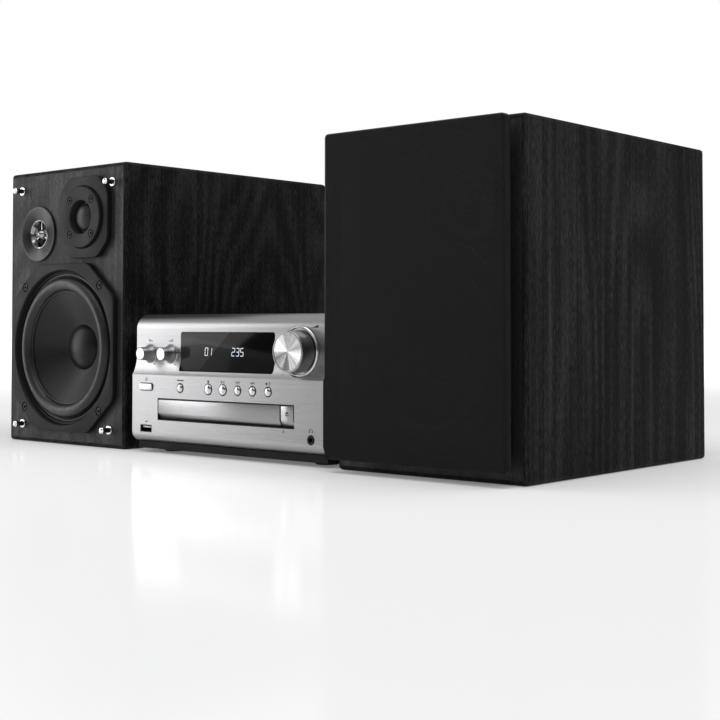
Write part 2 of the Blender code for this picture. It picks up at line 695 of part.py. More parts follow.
def tray_front():
    left, right = SLOT[0][0] + GAP, TRAY_SPLIT - GAP
    bar = outline("tray_front", drawer_profile(), right - left, behind((left + right) / 2, 0, 0), "side")
    finish(bar, (0.6, 0.6, 0.61), 0.3, 0.9)


def eject_button():
    left, right = TRAY_SPLIT + GAP, SLOT[1][0] - GAP
    key = outline("eject_button", drawer_profile(), right - left, behind((left + right) / 2, 0, 0), "side")
    stem = box("eject_stem", (left + 4 * MM, 0, 36 * MM), (right - 4 * MM, 6 * MM, 40 * MM))
    join(key, stem)
    finish(key, (0.6, 0.6, 0.61), 0.3, 0.9)


# ---------------------------------------------------------------- disc loader


def involute(angle):
    return math.tan(angle) - angle


def tooth_half_angle(radius):
    """Half of a gear tooth's angle at a radius."""
    base = GEAR_RADIUS * math.cos(PRESSURE)
    at_pitch = math.pi / (2 * TEETH) - BACKLASH / (2 * GEAR_RADIUS) + involute(PRESSURE)
    if radius <= base:
        return at_pitch
    return at_pitch - involute(math.acos(base / radius))


def gear_outline():
    """Teeth counted from the one that points at -X, towards the rack."""
    radii = (GEAR_RADIUS - TOOTH_ROOT, GEAR_RADIUS * math.cos(PRESSURE), GEAR_RADIUS, GEAR_RADIUS + TOOTH_TIP)
    points = []
    for tooth in range(TEETH):
        middle = math.pi + tooth * 2 * math.pi / TEETH
        rising = [(radius, middle - tooth_half_angle(radius)) for radius in radii]
        falling = [(radius, middle + tooth_half_angle(radius)) for radius in reversed(radii)]
        points += [(r * math.cos(a), r * math.sin(a)) for r, a in rising + falling]
    return points


def loading_gear():
    x = TRAY_RIGHT + TOOTH_ROOT + GEAR_RADIUS
    low, high = TRAY_BOTTOM + 2 * GAP, TRAY_TOP - 2 * GAP
    gear = outline("loading_gear", gear_outline(), high - low, behind(x, GEAR_Y, (low + high) / 2), "top")
    deck = DECK_Z[1] + GAP
    hub = [(0, low + 1 * MM), (4 * MM, low + 1 * MM), (4 * MM, deck), (0, deck)]
    join(gear, turned("gear_hub", hub, behind(x, GEAR_Y, 0), COARSE, "up"))
    finish(gear, (0.75, 0.73, 0.66), 0.4)


def rack_outline():
    """A strip of teeth facing +X; x is from the pitch line and y from a gap's middle."""
    pitch = math.pi * MODULE
    slope = math.tan(PRESSURE)
    half = pitch / 4 - BACKLASH / 2
    root, tip = half + TOOTH_ROOT * slope, half - TOOTH_TIP * slope
    back = -TOOTH_ROOT - 2 * MM
    points = [(back, 0)]
    for tooth in range(RACK_TEETH):
        middle = (tooth + 0.5) * pitch
        points += [
            (-TOOTH_ROOT, middle - root), (TOOTH_TIP, middle - tip),
            (TOOTH_TIP, middle + tip), (-TOOTH_ROOT, middle + root),
        ]
    points.append((back, RACK_TEETH * pitch))
    return points


def disc_tray():
    tray = box("disc_tray", (TRAY_LEFT, TRAY_FRONT, TRAY_BOTTOM), (TRAY_RIGHT, TRAY_BACK, TRAY_TOP))
    place = behind(DISC_X, DISC_Y, 0)
    recess = [(0, TRAY_TOP + 2 * MM), (DISC_RADIUS, TRAY_TOP + 2 * MM), (DISC_RADIUS, DISC_FLOOR), (0, DISC_FLOOR)]
    cut(tray, turned("disc_recess", recess, place, FINE, "up"))
    half = TRAY_SLOT / 2
    cut(tray, box("tray_slot", (DISC_X - half, DISC_Y - half, TRAY_BOTTOM - 2 * MM),
                  (DISC_X + half, TRAY_BACK + 5 * MM, TRAY_TOP + 2 * MM)))
    pitch_line = TRAY_RIGHT + TOOTH_ROOT
    thick = TRAY_TOP - TRAY_BOTTOM
    start = GEAR_Y - math.pi * MODULE
    join(tray, outline("rack", rack_outline(), thick, behind(pitch_line, start, TRAY_BOTTOM + thick / 2), "top"))
    finish(tray, (0.03, 0.03, 0.032), 0.5)


def disc_deck():
    """The loader's frame: a plate on four legs, open under the disc."""
    (x0, y0), (x1, y1) = DECK
    deck = box("disc_deck", (x0, y0, DECK_Z[0]), (x1, y1, DECK_Z[1]))
    (left, front), (right, back) = TRAVERSE
    room = 2 * MM
    cut(deck, box("deck_opening", (DISC_X + left - room, front - room, 0),
                  (DISC_X + right + room, back + room, DECK_Z[1] + room)))
    leg = 8 * MM
    for i, (x, y) in enumerate(((x0, y0), (x1 - leg, y0), (x0, y1 - leg), (x1 - leg, y1 - leg))):
        join(deck, box(f"deck_leg_{i}", (x, y, FLOOR_Z), (x + leg, y + leg, DECK_Z[0] + room)))
    finish(deck, (0.03, 0.03, 0.03), 0.6)


def traverse():
    """The plate that lifts the spindle and the pickup to the disc."""
    (left, front), (right, back) = TRAVERSE
    plate = box("traverse", (DISC_X + left, front, 14 * MM), (DISC_X + right, back, 16 * MM))
    for i, sideways in enumerate((-20 * MM, 18 * MM)):
        join(plate, box(f"rail_{i}", (DISC_X + sideways, front + 4 * MM, 15 * MM),
                        (DISC_X + sideways + 2 * MM, back - 4 * MM, 18.5 * MM)))
    motor = [(0, 15 * MM), (12 * MM, 15 * MM), (12 * MM, 9 * MM), (0, 9 * MM)]
    join(plate, turned("spindle_motor", motor, behind(DISC_X, DISC_Y, 0), COARSE, "up"))
    finish(plate, (0.5, 0.5, 0.5), 0.4, 0.8)


def pickup_sled():
    start = DISC_Y + 16 * MM
    sled = box("pickup_sled", (DISC_X - 16 * MM, start, 16.3 * MM), (DISC_X + 16 * MM, start + 22 * MM, 23 * MM))
    lens = [(0, 26 * MM), (3 * MM, 26 * MM), (4 * MM, 22 * MM), (0, 22 * MM)]
    join(sled, turned("pickup_lens", lens, behind(DISC_X, start + 8 * MM, 0), COARSE, "up"))
    finish(sled, (0.05, 0.05, 0.05), 0.4)


def spindle():
    profile = [(0, 29), (6.4, 29), (7.4, 27), (14, 27), (14, 24.5), (1.5, 24.5), (1.5, 16.5), (0, 16.5)]
    hub = turned("spindle", [(r * MM, h * MM) for r, h in profile], behind(DISC_X, DISC_Y, 0), COARSE, "up")
    finish(hub, (0.05, 0.05, 0.05), 0.5)


def clamp():
    """The bridge over the tray, and the puck that holds a disc down on the spindle."""
    low, high = BRIDGE_Z
    reach = 16 * MM
    (x0, _), (x1, _) = DECK
    bridge = box("clamp_bridge", (x0, DISC_Y - reach, low), (x1, DISC_Y + reach, high))
    for i, x in enumerate((x0, x1 - 4 * MM)):
        join(bridge, box(f"bridge_post_{i}", (x, DISC_Y - reach, DECK_Z[1] + GAP),
                         (x + 4 * MM, DISC_Y + reach, low + 1 * MM)))
    hole = [(0, high + reach), (11 * MM, high + reach), (11 * MM, low - reach), (0, low - reach)]
    cut(bridge, turned("clamp_hole", hole, behind(DISC_X, DISC_Y, 0), MEDIUM, "up"))
    finish(bridge, (0.4, 0.4, 0.4), 0.4, 0.8)
    puck = [(0, 48.3), (13, 48.3), (13, 46.3), (10.4, 46.3), (10.4, 40), (0, 40)]
    disc_clamp = turned("disc_clamp", [(r * MM, h * MM) for r, h in puck], behind(DISC_X, DISC_Y, 0), COARSE, "up")
    finish(disc_clamp, (0.05, 0.05, 0.05), 0.5)


# ---------------------------------------------------------------- electronics and sockets


def electronics():
    board = box("main_board", (-98 * MM, 180 * MM, FLOOR_Z), (40 * MM, 226 * MM, FLOOR_Z + 1.6 * MM))
    finish(board, (0.02, 0.09, 0.04), 0.5)
    supply = box("power_supply", (46 * MM, 180 * MM, FLOOR_Z), (98 * MM, 216 * MM, 58 * MM))
    finish(supply, (0.35, 0.35, 0.36), 0.4, 0.7)


def heat_sink():
    """An upright comb of fins, in plan: a spine with fins towards the front."""
    fins, pitch, thick, deep, spine = 9, 7 * MM, 2 * MM, 16 * MM, 3 * MM
    width = (fins - 1) * pitch + thick
    points = [(width, 0), (width, spine), (0, spine), (0, 0)]
    for i in range(fins):
        x = i * pitch
        points += [(x, -deep), (x + thick, -deep)]
        if i < fins - 1:
            points += [(x + thick, 0), (x + pitch, 0)]
    points = points[:3] + points[4:]
    height = 60 * MM
    low = FLOOR_Z + 1.6 * MM + GAP
    sink = outline("heat_sink", points[1:], height, behind(-88 * MM, 205 * MM, low + height / 2), "top")
    finish(sink, (0.6, 0.6, 0.61), 0.35, 1.0)


def front_sockets():
    (x0, z0), (x1, z1) = USB
    wall = 0.4 * MM
    port = box("usb_socket", (x0, -3.8 * MM, z0), (x1, 11 * MM, z1))
    cut(port, box("usb_mouth", (x0 + wall, -8 * MM, z0 + wall), (x1 - wall, 10 * MM, z1 - wall)))
    finish(port, (0.5, 0.5, 0.5), 0.3, 1.0)
    profile = [(0, -9), (1.8, -9), (1.8, 4.2), (3, 4.6), (3.3, 4.2), (3.3, -2.2), (5, -2.2), (5, -11), (0, -11)]
    jack = turned("headphone_socket", [(r * MM, h * MM) for r, h in profile], at(JACK[0], 0, JACK[1]), COARSE)
    finish(jack, (0.02, 0.02, 0.02), 0.3)


def rear_block(name, item, front, back):
    low, high = REAR_ITEMS[item]
    return box(name, (low[0], front, low[1]), (high[0], back, high[1]))


def rear_sockets():
    inlet = rear_block("mains_inlet", "mains", 220 * MM, PLATE_BACK + 1.5 * MM)
    (x0, z0), (x1, z1) = REAR_ITEMS["mains"]
    cut(inlet, box("inlet_mouth", (x0 + 5 * MM, 222 * MM, z0 + 3.6 * MM),
                   (x1 - 5 * MM, PLATE_BACK + 5 * MM, z1 - 3.6 * MM)))
    finish(inlet, (0.02, 0.02, 0.02), 0.4)

    posts = rear_block("speaker_terminals", "speaker", 228 * MM, PLATE_BACK + 1.2 * MM)
    (x0, z0), (x1, z1) = REAR_ITEMS["speaker"]
    post_profile = [(0, 13), (5, 13), (5, 4), (3.4, 4), (3.4, 0), (0, 0)]
    for i in range(4):
        x = x0 + (i + 0.5) * (x1 - x0) / 4
        join(posts, turned(f"unit_post_{i}", [(r * MM, h * MM) for r, h in post_profile],
                           behind(x, PLATE_BACK, (z0 + z1) / 2), COARSE, "back"))
    finish(posts, (0.02, 0.02, 0.02), 0.4)

    line = rear_block("line_sockets", "line", 228 * MM, PLATE_BACK + 1.2 * MM)
    (x0, z0), (x1, z1) = REAR_ITEMS["line"]
    barrel = [(0, 3), (1.6, 3), (1.6, 10), (4.1, 10), (4.1, 0), (0, 0)]
    for i in range(3):
        x = x0 + (i + 0.5) * (x1 - x0) / 3
        join(line, turned(f"line_barrel_{i}", [(r * MM, h * MM) for r, h in barrel],
                          behind(x, PLATE_BACK, (z0 + z1) / 2), COARSE, "back"))
    finish(line, (0.02, 0.02, 0.02), 0.4)


def build_receiver():
    for make in (front_panel, base_pan, top_cover, rear_panel, feet, window, front_board, volume, tone_knobs):
        make()
    for make in (buttons, tray_front, eject_button, loading_gear, disc_tray, disc_deck, traverse, pickup_sled):
        make()
    for make in (spindle, clamp, electronics, heat_sink, front_sockets, rear_sockets):
        make()


build_speaker("left", -1)
build_speaker("right", 1)
grille("right", CABINET_X["right"])
build_receiver()
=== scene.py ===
"""The looks of the mini hifi system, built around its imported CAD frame.

Units are metres in the frame's own axes: +Z up, the fronts face -Y. Places and outer sizes come from the CAD
nodes' boxes, and profiles are in millimetres about the piece's own middle. "Forward" is a distance in front
of the plane that the speakers' baffles share.
"""

import math

import bmesh
import bpy
from mathutils import Matrix, Vector


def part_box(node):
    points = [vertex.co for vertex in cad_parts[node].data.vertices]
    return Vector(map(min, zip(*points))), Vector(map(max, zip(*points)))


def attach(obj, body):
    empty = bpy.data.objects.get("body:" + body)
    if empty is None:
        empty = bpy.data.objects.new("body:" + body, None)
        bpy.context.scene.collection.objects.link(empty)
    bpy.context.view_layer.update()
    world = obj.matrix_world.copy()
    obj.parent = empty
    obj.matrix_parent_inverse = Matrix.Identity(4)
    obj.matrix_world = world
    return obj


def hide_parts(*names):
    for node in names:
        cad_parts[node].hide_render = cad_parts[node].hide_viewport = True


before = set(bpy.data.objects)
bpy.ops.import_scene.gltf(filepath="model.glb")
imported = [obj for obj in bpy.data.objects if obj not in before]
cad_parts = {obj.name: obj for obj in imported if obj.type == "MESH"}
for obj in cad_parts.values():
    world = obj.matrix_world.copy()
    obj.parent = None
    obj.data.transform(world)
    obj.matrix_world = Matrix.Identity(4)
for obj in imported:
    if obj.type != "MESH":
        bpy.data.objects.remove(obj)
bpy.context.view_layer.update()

MM = 0.001
SIDES = {"left": 1, "right": -1}  # the way that points from each speaker to the receiver
BAFFLE_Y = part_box("left_cabinet")[0][1]
MIDDLE_X = sum(corner[0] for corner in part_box("front_panel")) / 2  # the receiver's middle
HAIR = 0.03 * MM  # how far print stands off its panel


# ---------------------------------------------------------------- places read from the frame


def centre(node):
    low, high = (Vector(corner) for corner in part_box(node))
    return (low + high) / 2


def size(node):
    low, high = (Vector(corner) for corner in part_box(node))
    return high - low


def front_of(node):
    """How far forward a node's front is."""
    return BAFFLE_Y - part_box(node)[0].y


def back_of(node):
    """How far forward a node's back is."""
    return BAFFLE_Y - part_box(node)[1].y


def on_face(x, forward, z):
    return Vector((x, BAFFLE_Y - forward, z))


def four_about(x, z, across, up):
    """The four places that lie across to either side of a middle, and up or down from it."""
    return [(x + sx * across, z + sz * up) for sx in (-1, 1) for sz in (-1, 1)]


# ---------------------------------------------------------------- mesh helpers


def mesh_object(name, work, place=(0, 0, 0), sharp=30):
    """Turns a bmesh into a shown object with smooth shading up to an angle."""
    bmesh.ops.recalc_face_normals(work, faces=work.faces)
    mesh = bpy.data.meshes.new(name)
    work.to_mesh(mesh)
    work.free()
    mesh.shade_smooth()
    mesh.set_sharp_from_angle(angle=math.radians(sharp))
    made = bpy.data.objects.new(name, mesh)
    made.location = place
    bpy.context.scene.collection.objects.link(made)
    return made


def lathe(name, profile, place, steps=96, closed=False, facing=-1, sharp=30):
    """Turns a profile of (radius, distance along the axis). facing -1 points forward, 1 back, and "up" up."""
    work = bmesh.new()
    rings = []
    for radius, along in profile:
        ring = []
        for i in range(steps if radius > 1e-7 else 1):
            angle = 2 * math.pi * i / steps
            x, other = radius * math.cos(angle), radius * math.sin(angle)
            ring.append(work.verts.new((x, other, along) if facing == "up" else (x, facing * along, other)))
        rings.append(ring)
    pairs = list(zip(rings, rings[1:]))
    if closed:
        pairs.append((rings[-1], rings[0]))
    for first, second in pairs:
        for i in range(steps):
            around = ((first, i), (first, i + 1), (second, i + 1), (second, i))
            corners = list(dict.fromkeys(ring[k % len(ring)] for ring, k in around))
            if len(corners) > 2:
                work.faces.new(corners)
    return mesh_object(name, work, place, sharp)


def millimetres(points):
    return [(a * MM, b * MM) for a, b in points]


def turned(name, profile, *rest, **more):
    """A lathe piece whose profile is in millimetres."""
    return lathe(name, millimetres(profile), *rest, **more)


def rod(radius, x, z, front=30 * MM, back=-9 * MM, steps=64):
    return lathe("rod", [(0, front), (radius, front), (radius, back), (0, back)], on_face(x, 0, z), steps)


def extruded(name, corners, move, place, bevel, segments, sharp):
    """A flat outline made solid along a vector, its sharp edges rounded."""
    work = bmesh.new()
    face = work.faces.new([work.verts.new(corner) for corner in corners])
    grown = bmesh.ops.extrude_face_region(work, geom=[face])
    moved = [item for item in grown["geom"] if isinstance(item, bmesh.types.BMVert)]
    bmesh.ops.translate(work, vec=move, verts=moved)
    if bevel:
        edges = [e for e in work.edges if e.calc_face_angle(0) > math.radians(35)]
        bmesh.ops.bevel(work, geom=edges, offset=bevel, segments=segments, profile=0.5, affect="EDGES")
    return mesh_object(name, work, place, sharp)


def slab(name, points, front, back, place=(0, 0), bevel=0.0, segments=3, sharp=30):
    """An outline in X and Z, made solid between two forward distances."""
    corners = [(x, -front, z) for x, z in points]
    return extruded(name, corners, (0, front - back, 0), (place[0], BAFFLE_Y, place[1]), bevel, segments, sharp)


def side_prism(name, points, left, right, bevel=0.0):
    """An outline of (forward, z), made solid from left to right."""
    corners = [(left, BAFFLE_Y - forward, z) for forward, z in points]
    return extruded(name, corners, (right - left, 0, 0), (0, 0, 0), bevel, 2, 30)


def block(name, low, high, bevel=0.0):
    """A box between two corners in the frame's axes, its edges rounded."""
    work = bmesh.new()
    bmesh.ops.create_cube(work, size=1.0)
    extent = Vector(high) - Vector(low)
    for vertex in work.verts:
        vertex.co = Vector([c * e for c, e in zip(vertex.co, extent)])
    if bevel:
        edges = list(work.edges)
        bmesh.ops.bevel(work, geom=edges, offset=bevel, segments=3, profile=0.5, affect="EDGES")
    return mesh_object(name, work, (Vector(low) + Vector(high)) / 2)


def settle(piece):
    """Replaces a piece's mesh with the result of its modifiers."""
    shown = piece.evaluated_get(bpy.context.evaluated_depsgraph_get())
    mesh = bpy.data.meshes.new_from_object(shown)
    piece.modifiers.clear()
    piece.data = mesh


def carve(piece, *tools, operation="DIFFERENCE"):
    """Cuts or joins tools, which are used up."""
    for tool in tools:
        step = piece.modifiers.new("carve", "BOOLEAN")
        step.operation = operation
        step.object = tool
    settle(piece)
    for tool in tools:
        bpy.data.objects.remove(tool)
    piece.data.shade_smooth()
    piece.data.set_sharp_from_angle(angle=math.radians(30))
    return piece


def merge(name, pieces):
    """Joins pieces that share a look into one mesh, in the frame's axes."""
    work = bmesh.new()
    bpy.context.view_layer.update()
    for piece in pieces:
        mesh = piece.data.copy()
        mesh.transform(piece.matrix_world)
        work.from_mesh(mesh)
        bpy.data.meshes.remove(mesh)
        bpy.data.objects.remove(piece)
    mesh = bpy.data.meshes.new(name)
    work.to_mesh(mesh)
    work.free()
    made = bpy.data.objects.new(name, mesh)
    bpy.context.scene.collection.objects.link(made)
    return made


def arc(middle, radius, start, end, steps):
    """Points on an arc, angles in degrees."""
    angles = [math.radians(start + (end - start) * i / steps) for i in range(steps + 1)]
    return [(middle[0] + radius * math.cos(a), middle[1] + radius * math.sin(a)) for a in angles]


def rounded(width, height, radius, steps=8):
    """The outline of a rectangle with round corners."""
    x, z = width / 2 - radius, height / 2 - radius
    points = []
    for quarter, corner in enumerate(((x, z), (-x, z), (-x, -z), (x, -z))):
        points += arc(corner, radius, 90 * quarter, 90 * quarter + 90, steps)
    return points


def soft_corners(points, radius, steps=5):
    """An outline with each corner replaced by a short curve."""
    made = []
    count = len(points)
    for i in range(count):
        before, here, after = (Vector(points[(i + k) % count]) for k in (-1, 0, 1))
        start = here + (before - here).normalized() * radius
        end = here + (after - here).normalized() * radius
        for k in range(steps + 1):
            t = k / steps
            made.append(tuple((1 - t) ** 2 * start + 2 * t * (1 - t) * here + t * t * end))
    return made


def octagon(width, height, cut_w, cut_h):
    w, h = width / 2, height / 2
    return [
        (w, -h + cut_h), (w, h - cut_h), (w - cut_w, h), (-w + cut_w, h),
        (-w, h - cut_h), (-w, -h + cut_h), (-w + cut_w, -h), (w - cut_w, -h),
    ]


# ---------------------------------------------------------------- materials


RANGE = ("From Min", "From Max", "To Min", "To Max")


def add_node(tree, kind, inputs=(), **settings):
    made = tree.nodes.new(kind)
    for key, value in settings.items():
        setattr(made, key, value)
    for key, value in dict(inputs).items():
        made.inputs[key].default_value = value
    return made


class Look:
    """A Principled material built up from procedural nodes."""

    def __init__(self, name, colour, roughness, metallic=0.0, **sockets):
        self.material = bpy.data.materials.new(name)
        self.material.use_nodes = True
        self.tree = self.material.node_tree
        self.shader = self.tree.nodes["Principled BSDF"]
        self.set("Base Color", (*colour, 1.0))
        self.set("Roughness", roughness)
        self.set("Metallic", metallic)
        for key, value in sockets.items():
            self.set(key.replace("_", " "), value)

    def set(self, socket, value):
        self.shader.inputs[socket].default_value = value

    def node(self, kind, inputs=(), **settings):
        return add_node(self.tree, kind, inputs, **settings)

    def link(self, source, target):
        self.tree.links.new(source, target)

    def coordinates(self, kind="Object"):
        return self.node("ShaderNodeTexCoord").outputs[kind]

    def parts(self, vector):
        made = self.node("ShaderNodeSeparateXYZ")
        self.link(vector, made.inputs[0])
        return made.outputs

    def place(self, scale, source=None):
        """Object coordinates, stretched: a scale is in features to the metre."""
        if isinstance(scale, int):
            scale = (scale,) * 3
        mapping = self.node("ShaderNodeMapping", {"Scale": scale})
        self.link(source or self.coordinates(), mapping.inputs["Vector"])
        return mapping.outputs["Vector"]

    def noise(self, vector, detail=3.0, rough=0.5):
        made = self.node("ShaderNodeTexNoise", {"Scale": 1.0, "Detail": detail, "Roughness": rough})
        self.link(vector, made.inputs["Vector"])
        return made.outputs["Fac"]

    def math(self, operation, *values):
        made = self.node("ShaderNodeMath", operation=operation)
        for slot, value in zip(made.inputs, values):
            if isinstance(value, (int, float)):
                slot.default_value = value
            else:
                self.link(value, slot)
        return made.outputs["Value"]

    def weighed(self, first, share, second, other_share):
        """The sum of two values, each taken at its share."""
        return self.math("ADD", self.math("MULTIPLY", first, share), self.math("MULTIPLY", second, other_share))

    def remap(self, value, *limits):
        made = self.node("ShaderNodeMapRange", zip(RANGE, limits))
        self.link(value, made.inputs["Value"])
        return made.outputs["Result"]

    def colour_from(self, factor, first, second):
        """The base colour runs from one to the other with a factor."""
        made = self.node("ShaderNodeMix", {6: (*first, 1.0), 7: (*second, 1.0)}, data_type="RGBA")
        self.link(factor, made.inputs["Factor"])
        self.link(made.outputs[2], self.shader.inputs["Base Color"])

    def roughness_from(self, value, start, end, low=0.3, high=0.7):
        """The roughness runs from start to end while a value runs from low to high."""
        self.link(self.remap(value, low, high, start, end), self.shader.inputs["Roughness"])

    def bump(self, height, depth, strength=1.0):
        """Relief of a depth in metres."""
        made = self.node("ShaderNodeBump", {"Distance": depth, "Strength": strength})
        self.link(height, made.inputs["Height"])
        self.link(made.outputs["Normal"], self.shader.inputs["Normal"])

    def turned_sheen(self):
        """Reflections stretched as on a piece turned about its own Y axis."""
        tangent = self.node("ShaderNodeTangent", direction_type="RADIAL", axis="Y")
        self.link(tangent.outputs[0], self.shader.inputs["Tangent"])

    def turned_rings(self, roughness):
        """Fine rings, as a lathe leaves them."""
        rings = polar_streaks(self, 0.35, 5200.0)
        self.roughness_from(rings, roughness * 0.85, roughness * 1.2)
        self.bump(rings, 0.006 * MM, 0.5)


def wood_vinyl(name, dark, light, shine):
    """Black-stained wood grain: vertical on upright faces, across on the top."""
    look = Look(name, dark, 0.42, Specular_IOR_Level=shine)
    place, normal = look.parts(look.coordinates()), look.parts(look.coordinates("Normal"))
    lying = look.math("GREATER_THAN", look.math("ABSOLUTE", normal["Z"]), 0.7)
    along_grain = look.node("ShaderNodeMix", data_type="VECTOR")
    look.link(lying, along_grain.inputs["Factor"])
    for target, order in ((4, "XYZ"), (5, "ZYX")):
        vector = look.node("ShaderNodeCombineXYZ")
        for slot, axis in zip(vector.inputs, order):
            look.link(place[axis], slot)
        look.link(vector.outputs[0], along_grain.inputs[target])
    vector = along_grain.outputs[1]
    swirl = look.noise(look.place((10, 10, 1.7), vector), 1.2, 0.4)
    rings = look.math("SINE", look.math("MULTIPLY", swirl, 150.0))
    pores = look.noise(look.place((2300, 2300, 200), vector), 2.0, 0.65)
    streaks = look.noise(look.place((420, 420, 5), vector), 3.0, 0.6)
    clouds = look.noise(look.place((17, 17, 5), vector), 3.0, 0.55)
    fine = look.weighed(pores, 0.6, streaks, 0.22)
    slow = look.weighed(rings, 0.032, clouds, 0.22)
    grain = look.math("ADD", fine, slow)
    look.colour_from(look.remap(grain, 0.49, 0.68, 0.0, 1.0), dark, light)
    look.roughness_from(grain, 0.68, 0.4, 0.47, 0.67)
    look.bump(fine, 0.12 * MM, 0.8)
    return look.material


def moulding(name, colour=(0.006, 0.006, 0.0063), roughness=0.5, grain=2600, depth=0.02):
    """Moulded plastic with a fine even texture."""
    look = Look(name, colour, roughness, Specular_IOR_Level=0.16)
    fine = look.noise(look.place(grain), 2.0)
    look.roughness_from(look.noise(look.place(40)), roughness - 0.06, roughness + 0.08)
    look.colour_from(fine, colour, tuple(c * 1.35 for c in colour))
    look.bump(fine, depth * MM, 0.5)
    return look.material


def rubber(name, roughness=0.38):
    look = Look(name, (0.006, 0.006, 0.0064), roughness, Specular_IOR_Level=0.4)
    dust = look.noise(look.place(300), 4.0)
    look.roughness_from(dust, roughness - 0.05, roughness + 0.1)
    look.bump(dust, 0.03 * MM, 0.4)
    return look.material


def polar_streaks(look, fineness, radial=0.0):
    """Noise that runs outwards from the piece's own Y axis, or round it."""
    place = look.parts(look.coordinates())
    angle = look.math("ARCTAN2", place["Z"], place["X"])
    square = look.math("ADD", look.math("POWER", place["X"], 2.0), look.math("POWER", place["Z"], 2.0))
    around, outwards = look.node("ShaderNodeCombineXYZ"), look.node("ShaderNodeCombineXYZ")
    look.link(look.math("COSINE", angle), around.inputs[0])
    look.link(look.math("SINE", angle), around.inputs[1])
    look.link(look.math("MULTIPLY", look.math("SQRT", square), radial), outwards.inputs[2])
    spread = look.node("ShaderNodeVectorMath", {"Scale": fineness}, operation="SCALE")
    look.link(around.outputs[0], spread.inputs[0])
    total = look.node("ShaderNodeVectorMath", operation="ADD")
    look.link(spread.outputs[0], total.inputs[0])
    look.link(outwards.outputs[0], total.inputs[1])
    return look.noise(total.outputs[0], 3.0, 0.55)


def cone_paper(name):
    """Pressed black cone material with faint fibres running outwards."""
    sheen = {"Specular_IOR_Level": 0.3, "Anisotropic": 0.6, "Anisotropic_Rotation": 0.25}
    look = Look(name, (0.007, 0.007, 0.0075), 0.46, **sheen)
    look.turned_sheen()
    fibres = polar_streaks(look, 34.0, 60.0)
    look.colour_from(fibres, (0.003, 0.003, 0.0034), (0.008, 0.008, 0.0086))
    look.roughness_from(fibres, 0.4, 0.54)
    look.bump(fibres, 0.05 * MM, 0.6)
    return look.material


def spun(name, colour, roughness, anisotropy, metallic=1.0):
    """Metal or lacquer turned on a lathe, with fine rings about the piece's Y axis."""
    look = Look(name, colour, roughness, metallic, Anisotropic=anisotropy, Anisotropic_Rotation=0.25)
    look.turned_sheen()
    look.turned_rings(roughness)
    return look.material


def turned_face(name, dark, light, roughness):
    """A flat face turned on a lathe: fine rings, and painted highlights and shade: lighter and darker wedges round
    its middle, painted into its colour.
    """
    look = Look(name, light, roughness, 1.0, Anisotropic=0.92, Anisotropic_Rotation=0.25)
    look.turned_sheen()
    # Painted highlights and shade: the colour runs between the dark and the light colour in wedges round the
    # face's middle.
    painted_highlight_wedges = polar_streaks(look, 1.25)
    look.colour_from(look.remap(painted_highlight_wedges, 0.4, 0.6, 0.0, 1.0), dark, light)
    look.turned_rings(roughness)
    return look.material


def brushed(name, colour, roughness=0.3):
    """Aluminium brushed from side to side."""
    look = Look(name, colour, roughness, 1.0, Anisotropic=0.55)
    lines = look.noise(look.place((9, 2600, 2600)), 4.0, 0.65)
    broad = look.noise(look.place((5, 90, 90)), 3.0, 0.5)
    along = look.node("ShaderNodeCombineXYZ", {2: 1.0})
    look.link(along.outputs[0], look.shader.inputs["Tangent"])
    look.colour_from(lines, tuple(c * 0.9 for c in colour), colour)
    look.roughness_from(look.weighed(lines, 0.8, broad, 0.2), roughness - 0.05, roughness + 0.07, 0.35, 0.65)
    look.bump(lines, 0.008 * MM, 0.35)
    return look.material


def polished(name, colour, roughness):
    look = Look(name, colour, roughness, 1.0)
    wear = look.noise(look.place(900), 5.0)
    look.roughness_from(wear, roughness - 0.04, roughness + 0.08)
    look.bump(wear, 0.004 * MM, 0.3)
    return look.material


def painted_steel(name):
    """Sheet steel with a fine textured black coat."""
    look = Look(name, (0.02, 0.02, 0.021), 0.45)
    pebbles = look.noise(look.place(1500), 2.0, 0.4)
    look.colour_from(pebbles, (0.016, 0.016, 0.017), (0.03, 0.03, 0.031))
    look.roughness_from(pebbles, 0.38, 0.58)
    look.bump(pebbles, 0.05 * MM, 0.6)
    return look.material


def knitted(name):
    """Acoustic cloth: a fine regular weave, matt, slightly fuzzy and a little open."""
    look = Look(name, (0.008, 0.008, 0.008), 0.9, Specular_IOR_Level=0.2)
    parts = look.parts(look.place(1400))
    warp = look.math("SINE", look.math("MULTIPLY", parts["X"], math.pi))
    weft = look.math("SINE", look.math("MULTIPLY", parts["Z"], math.pi))
    weave = look.math("MULTIPLY", warp, weft)
    height = look.math("ADD", weave, look.math("MULTIPLY", look.noise(look.place(700)), 0.6))
    look.colour_from(look.remap(height, -1.0, 1.6, 0.0, 1.0), (0.003, 0.003, 0.003), (0.014, 0.014, 0.014))
    look.bump(height, 0.12 * MM, 0.7)
    look.link(look.remap(height, -1.0, 1.0, 0.48, 0.95), look.shader.inputs["Alpha"])
    return look.material


def gloss_black(name, roughness=0.06):
    look = Look(name, (0.006, 0.006, 0.007), roughness, Coat_Weight=0.3)
    look.roughness_from(look.noise(look.place(120), 4.0), roughness, roughness + 0.05)
    return look.material


